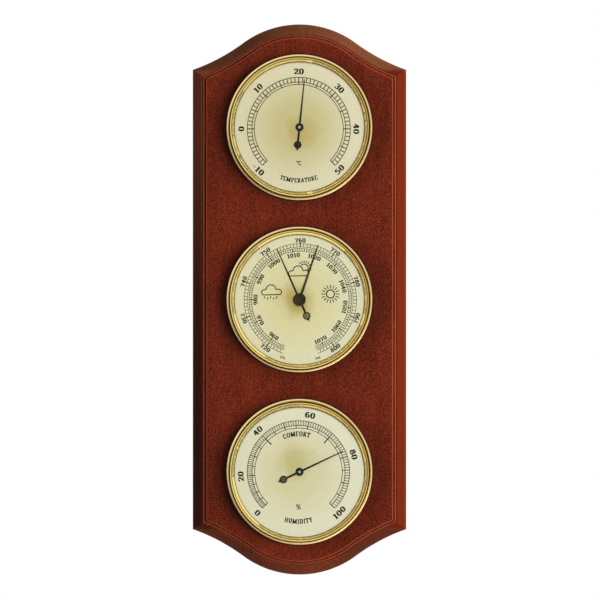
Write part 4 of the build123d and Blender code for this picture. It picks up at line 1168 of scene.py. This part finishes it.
def printSigns():
    w = weatherSigns
    bm = bmesh.new()
    rainPlace, mixedPlace, sunPlace = [
        Matrix.Translation(at(w[spot][0], 0, w[spot][1])) for spot in ("rainSpot", "mixedSpot", "sunSpot")
    ]
    body = [("s", *w["cloud"]), ("l", w["cloud"][0], w["cloud"][-1])]
    slantX, slantZ = w["dropSlant"]
    drops = [("l", (x, z), (x + slantX, z + slantZ)) for x, z in w["rainDrops"]]
    addStrokes(bm, body + drops, w["pen"], rainPlace)
    x, z, radius = w["halfSun"]
    start, stop = w["halfSunRays"]
    count = w["halfSunRayCount"]
    spread = [start + (stop - start) * i / (count - 1) for i in range(count)]
    rayFrom, rayTo = radius + w["halfSunRayFrom"], radius + w["halfSunRayTo"]
    rays = [rayStroke(x, z, bearing, rayFrom, rayTo) for bearing in spread]
    bow = [("s", *[spotAt(x, z, bearing, radius) for bearing in w["halfSunBow"]])]
    addStrokes(bm, body + bow + rays, w["pen"], mixedPlace)
    reach, count = w["sunRadius"], w["rayCount"]
    disc = ("o", (0, reach), (-reach, 0), (0, -reach), (reach, 0))
    beams = [rayStroke(0, 0, 360 * i / count, w["rayFrom"], w["rayTo"]) for i in range(count)]
    addStrokes(bm, [disc], w["sunPen"], sunPlace)
    addStrokes(bm, beams, w["rayPen"], sunPlace)
    makePrint("weatherSigns", bm, "baro", (0, 0))


printThermo()
printHygro()
printBaro()
printSigns()
print("dial prints done")

# Hands: a tapered needle, a stem and a teardrop tail cut from sheet, and a turned hub
handShape = {
    "back": 21.0, "thickness": 0.3, "ease": 0.06,
    "rootWidth": 1.25, "tipWidth": 0.55, "stemWidth": 1.25,
    "ballReach": 10.6, "ballRadius": 2.3, "tailReach": 14.4, "spikeAngle": 28, "spikeWaist": (0.42, 13.35),
    "hubBack": 20.55, "hubHeight": 1.2, "hubEase": 0.2, "bore": 0.87,
    "cheekSteps": 16, "easeSteps": 5, "hubSteps": 64,
    "thermo": {"reach": 28.7, "hub": 2.45, "rest": 5.85, "body": "thermo_pointer"},
    "hygro": {"reach": 28.7, "hub": 2.45, "rest": 64.6, "body": "hygro_pointer"},
    "baro": {"reach": 32.8, "hub": 2.0, "rest": -24.0, "body": "baro_pointer"},
}


# fills an outline, gives it thickness and eases its front edge
def sheetSolid(bm, back, thickness, ease):
    face = bmesh.ops.contextual_create(bm, geom=bm.edges[:])["faces"]
    grown = bmesh.ops.extrude_face_region(bm, geom=face)["geom"]
    moved = [g for g in grown if isinstance(g, bmesh.types.BMVert)]
    bmesh.ops.translate(bm, vec=at(0, thickness), verts=moved)
    bmesh.ops.translate(bm, vec=at(0, back), verts=bm.verts[:])
    bmesh.ops.recalc_face_normals(bm, faces=bm.faces[:])
    rim = [e for e in bm.edges if all(abs(v.co.y + back + thickness) < mergeGap for v in e.verts)]
    bmesh.ops.bevel(bm, geom=rim, offset=ease, offset_type="OFFSET", affect="EDGES", segments=2, profile=0.5,
                    material=-1, clamp_overlap=True)


def hubSolid(radius):
    h = handShape
    top = h["hubBack"] + h["hubHeight"]
    bm = bmesh.new()
    first = bm.verts.new(at(h["bore"], h["hubBack"]))
    tip = lineThrough(bm, first, ((radius, h["hubBack"]), (radius, top - h["hubEase"])))
    tip = sweepTo(bm, tip, at(radius - h["hubEase"], top - h["hubEase"]), 90, h["easeSteps"])
    tip = lineTo(bm, tip, at(h["bore"], top))
    closeLoop(bm, first, tip)
    lathe(bm, h["hubSteps"])
    return bm


def join(bm, other):
    mesh = bpy.data.meshes.new("joined")
    other.to_mesh(mesh)
    other.free()
    bm.from_mesh(mesh)
    bpy.data.meshes.remove(mesh)


def makeHand(gauge):
    h, own = handShape, handShape[gauge]
    root, point, stem = h["rootWidth"] / 2, h["tipWidth"] / 2, h["stemWidth"] / 2
    neck = sqrt(h["ballRadius"] ** 2 - stem**2)
    bm = bmesh.new()
    first = bm.verts.new(at(-root, 0, 0))
    tip = lineThrough(bm, first, ((-point, 0, own["reach"]), (point, 0, own["reach"]), (root, 0, 0),
                                  (stem, 0, 0), (stem, 0, neck - h["ballReach"])))
    ball = at(0, 0, -h["ballReach"])
    waist, waistReach = h["spikeWaist"]
    spike = radians(h["spikeAngle"])
    cheek = 180 - h["spikeAngle"] - degrees(asin(stem / h["ballRadius"]))
    tip = swingTo(bm, tip, ball, cheek, h["cheekSteps"])
    spikeRoot = (-h["ballRadius"] * sin(spike), 0, -h["ballReach"] - h["ballRadius"] * cos(spike))
    tip = lineThrough(bm, tip, ((waist, 0, -waistReach), (0, 0, -h["tailReach"]), (-waist, 0, -waistReach),
                                spikeRoot))
    tip = swingTo(bm, tip, ball, cheek, h["cheekSteps"])
    tip = lineTo(bm, tip, at(-stem, 0, 0))
    closeLoop(bm, first, tip)
    sheetSolid(bm, h["back"], h["thickness"], h["ease"])
    join(bm, hubSolid(own["hub"]))
    rest = radians(own["rest"])
    look = handLook(gauge, -h["ballReach"] * sin(rest), dialHeights[gauge] - h["ballReach"] * cos(rest))
    makePiece(gauge + "Pointer", bm, look, own["body"], (gauge + "_hand",),
              dialHeights[gauge], own["rest"])


for gauge in gaugeNames:
    makeHand(gauge)

# Set hand below the glass, and the knob that turns it from in front
setShape = {
    "rest": 18.9, "reach": 34.3, "rootWidth": 1.7, "tipWidth": 0.8,
    "back": 22.65, "thickness": 0.3, "ease": 0.06,
    "hubRadius": 2.6, "hubHeight": 0.7, "stemRadius": 1.5, "stemTop": 26.95, "hubSteps": 64,
    "knobBack": 25.35, "knobRadius": 3.8, "knobHeight": 2.4, "knobRound": 0.5,
    "rim": 0.9, "dish": 0.35, "dishRound": 0.2, "roundSteps": 8, "knobSteps": 96,
}


def makeSetHand():
    s = setShape
    root, point = s["rootWidth"] / 2, s["tipWidth"] / 2
    bm = bmesh.new()
    first = bm.verts.new(at(-root, 0, 0))
    tip = lineThrough(bm, first, ((-point, 0, s["reach"]), (point, 0, s["reach"]), (root, 0, 0)))
    closeLoop(bm, first, tip)
    sheetSolid(bm, s["back"], s["thickness"], s["ease"])
    hub = bmesh.new()
    hubTop = s["back"] + s["hubHeight"]
    lineThrough(hub, hub.verts.new(at(0, s["back"])), (
        (s["hubRadius"], s["back"]), (s["hubRadius"], hubTop), (s["stemRadius"], hubTop),
        (s["stemRadius"], s["stemTop"]), (0, s["stemTop"]),
    ))
    lathe(hub, s["hubSteps"])
    join(bm, hub)
    makePiece("setPointer", bm, plain["setHandOlive"], "set_pointer", ("set_hand",),
              dialHeights["baro"], s["rest"])


def makeKnob():
    s = setShape
    top = s["knobBack"] + s["knobHeight"]
    inner = s["knobRadius"] - s["rim"]
    dishFloor = top - s["dish"]
    shoulder = at(s["knobRadius"] - s["knobRound"], top - s["knobRound"])
    bm = bmesh.new()
    tip = bm.verts.new(at(0, s["knobBack"]))
    tip = lineThrough(bm, tip, ((s["knobRadius"], s["knobBack"]), (s["knobRadius"], top - s["knobRound"])))
    tip = sweepTo(bm, tip, shoulder, 90, s["roundSteps"])
    lineThrough(bm, tip, ((inner, top), (inner - s["dishRound"], dishFloor + s["dishRound"] / 2),
                          (inner - 2 * s["dishRound"], dishFloor), (0, dishFloor)))
    lathe(bm, s["knobSteps"])
    makePiece("setKnob", bm, plain["knobBlack"], "set_pointer", ("set_knob",),
              dialHeights["baro"])


makeSetHand()
makeKnob()
print("hands done")

# Front skin of the barometer's capsule: a rim, a wavy shell and a boss in the middle with the stem's seat on
# it
capsuleShape = {
    "seatRadius": 1.7, "seatDepth": 11.0, "seatFoot": 2.2,  # the stem's seat stands above the boss
    "bossRadius": 4.0, "bossDepth": 10.5, "rimWidth": 1.6, "rimDepth": 8.8, "skin": 0.3,
    "wave": 0.45, "waves": 4, "waveSteps": 8, "steps": 96,
}


def makeCapsuleSkin():
    c = capsuleShape
    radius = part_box("capsule_front")[1].x / mm
    waveWidth = radius - c["rimWidth"] - c["bossRadius"]
    count = c["waves"] * c["waveSteps"]
    line = [(0, c["seatDepth"]), (c["seatRadius"], c["seatDepth"]), (c["seatFoot"], c["bossDepth"])]
    for share in [step / count for step in range(count + 1)]:
        slope = c["bossDepth"] + share * (c["rimDepth"] - c["bossDepth"])
        wave = c["wave"] * sin(2 * pi * c["waves"] * share)
        line.append((c["bossRadius"] + share * waveWidth, slope - wave))
    line.append((radius, c["rimDepth"]))
    inside = [(reach, depth - c["skin"]) for reach, depth in reversed(line)]
    bm = bmesh.new()
    lineThrough(bm, bm.verts.new(at(*line[0])), line[1:] + inside)
    lathe(bm, c["steps"])
    piece = makePiece("capsuleSkin", bm, plain["capsuleNickel"], None, ("capsule_front",),
                      dialHeights["baro"])
    at(0, c["rimDepth"], dialHeights["baro"]) * mm
    at(0, c["bossDepth"] - c["skin"], dialHeights["baro"]) * mm
    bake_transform(piece)


makeCapsuleSkin()
print("capsule done")

# Finishes for the CAD nodes that stay
nodeLooks = {
    "platedSteel": ("hanger_plate", "hanger_screws", "thermo_bracket", "hygro_bracket",
                    "thermo_bracket_screws", "hygro_bracket_screws", "base_plate_screws", "bridge_screws",
                    "rocker_brackets", "rocker_shaft", "drive_finger", "sector_screw", "sector_pin",
                    "cock_screw", "knob_washer"),
    "arborNickel": ("thermo_arbor", "hygro_arbor"),
    "caseBlack": ("thermo_case", "baro_case", "hygro_case"),
    "gripRubber": ("thermo_grip_ring", "baro_grip_ring", "hygro_grip_ring"),
    "springStrip": ("thermo_coil", "hygro_coil", "hairspring"),
    "capsuleNickel": ("capsule_rear",),
    "movementBrass": ("thermo_bush", "hygro_bush", "thermo_coil_stud", "hygro_coil_stud", "base_plate",
                      "adjusting_screw", "capsule_stem", "pillars", "bridge_plate", "stem_lever",
                      "sector_gear", "arbor_cock", "hairspring_stud", "baro_arbor"),
}


def dressNode(name, look):
    slots = frame["nodes"][name].data.materials
    slots.clear()
    slots.append(look)


for look, names in nodeLooks.items():
    for name in names:
        dressNode(name, plain[look])
for gauge in gaugeNames:
    dressNode(gauge + "_spacer", brass[gauge])
print("CAD nodes dressed")

# Studio: a pale floor below the hung board, white all round, and lamps for the board, from the
# right, for its dials, from the front, for its back and for the floor. Places are in metres.
studio = {
    "floorDrop": 110.0, "floorSize": 2.4, "floorTones": (tint(238, 237, 234), tint(226, 225, 222)),
    "floorPatch": 3, "floorPatchShare": 0.1, "floorRough": 0.85,
    "floorFade": (0.35, 1.15),  # the floor thins out between these distances from its middle
    "lamps": {  # place, size, watts, and the pieces that it leaves out or lights alone
        "boardKey": ((1.7, -1.8, -0.2), 1.4, 77, "dials", "EXCLUDE"),
        "edgeLamp": ((2.0, 0.0, -0.15), 0.8, 20, "dials", "EXCLUDE"),
        "dialKey": ((0.12, -2.6, 0.02), 0.6, 54, "dials", "INCLUDE"),
        "backLamp": ((-0.9, 2.4, 0.4), 1.4, 60, "dials", "EXCLUDE"),
        "floorLamp": ((0.3, -0.4, 2.0), 1.6, 50, "floor", "INCLUDE"),
    },
    "aim": (0, 0, -0.15),
    "ambient": 0.1,  # light from all round, beside the lamps
    "room": ((0.0, 1.0), (0.06, 0.9), (0.2, 0.6), (0.4, 0.48), (1.0, 0.8)),  # for gloss, front to back
    "roomLeft": 0.2,  # more of it to the left, less to the right
}


def makeFloor():
    s = studio
    bm = bmesh.new()
    bmesh.ops.create_grid(bm, x_segments=1, y_segments=1, size=s["floorSize"] / 2)
    bmesh.ops.translate(bm, vec=(0, 0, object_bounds()[0].z - s["floorDrop"] * mm), verts=bm.verts[:])
    mesh = bpy.data.meshes.new("floor")
    bm.to_mesh(mesh)
    bm.free()
    material, n = newLook("paleFloor")
    soft = n.noise(n.place(), s["floorPatch"], 2)
    full, gone = s["floorFade"]
    n.surface({
        "Base Color": n.mix(soft * s["floorPatchShare"], *s["floorTones"]),
        "Roughness": s["floorRough"],
        "Alpha": n.between(n.length(n.place(scale=(1, 1, 0))), gone, full),
    })
    mesh.materials.append(material)
    floor = bpy.data.objects.new("floor", mesh)
    bpy.context.scene.collection.objects.link(floor)
    floor.visible_diffuse = False  # the lamps alone light the board
    floor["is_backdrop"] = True
    return floor


def makeLamp(name, place, size, watts, linkedPieces, state):
    data = bpy.data.lights.new(name, "AREA")
    data.shape = "DISK"
    data.size = size
    data.energy = watts
    light = bpy.data.objects.new(name, data)
    light.location = place
    aim = Vector(studio["aim"]) - light.location
    light.rotation_euler = aim.to_track_quat("-Z", "Y").to_euler()
    light.visible_glossy = False  # gloss shows the room instead
    bpy.context.scene.collection.objects.link(light)
    lit = bpy.data.collections.new(name + "Lit")
    for piece in linkedPieces:
        lit.objects.link(piece)
    for linked in lit.collection_objects:
        linked.light_linking.link_state = state
    light.light_linking.receiver_collection = lit


# the camera sees white, gloss sees the room, and other light is the ambient
def makeWorld():
    s = studio
    world = bpy.data.worlds.new("studioWorld")
    world.use_nodes = True
    bpy.context.scene.world = world
    n = Nodes(world.node_tree)
    seen = n.add("LightPath", out="Is Camera Ray")
    mirrored = n.add("LightPath", out="Is Glossy Ray") + n.add("LightPath", out="Is Transmission Ray")
    mirrored = n.between(mirrored, 0, 1)
    aim = n.add("TexCoord", out="Generated")
    stops = [(spot, (grey, grey, grey, 1)) for spot, grey in s["room"]]
    shown = n.ramp(n.between(n.part(aim, "Y"), -1, 1), *stops) * (1 - n.part(aim, "X") * s["roomLeft"])
    level = seen + (1 - seen) * (mirrored * shown + (1 - mirrored) * s["ambient"])
    white = n.add("Background", {}, {"Color": (1, 1, 1, 1), "Strength": level})
    n.add("OutputWorld", {}, {"Surface": white})


dialFaces = [o for o in bpy.data.objects if o.name.endswith(("DialSheet", "Print", "Signs"))]
lampGroups = {"dials": dialFaces, "floor": [makeFloor()]}
for name, (place, size, watts, group, state) in studio["lamps"].items():
    makeLamp(name, place, size, watts, lampGroups[group], state)
makeWorld()
bpy.context.scene.view_settings.view_transform = "Standard"
print("studio done")
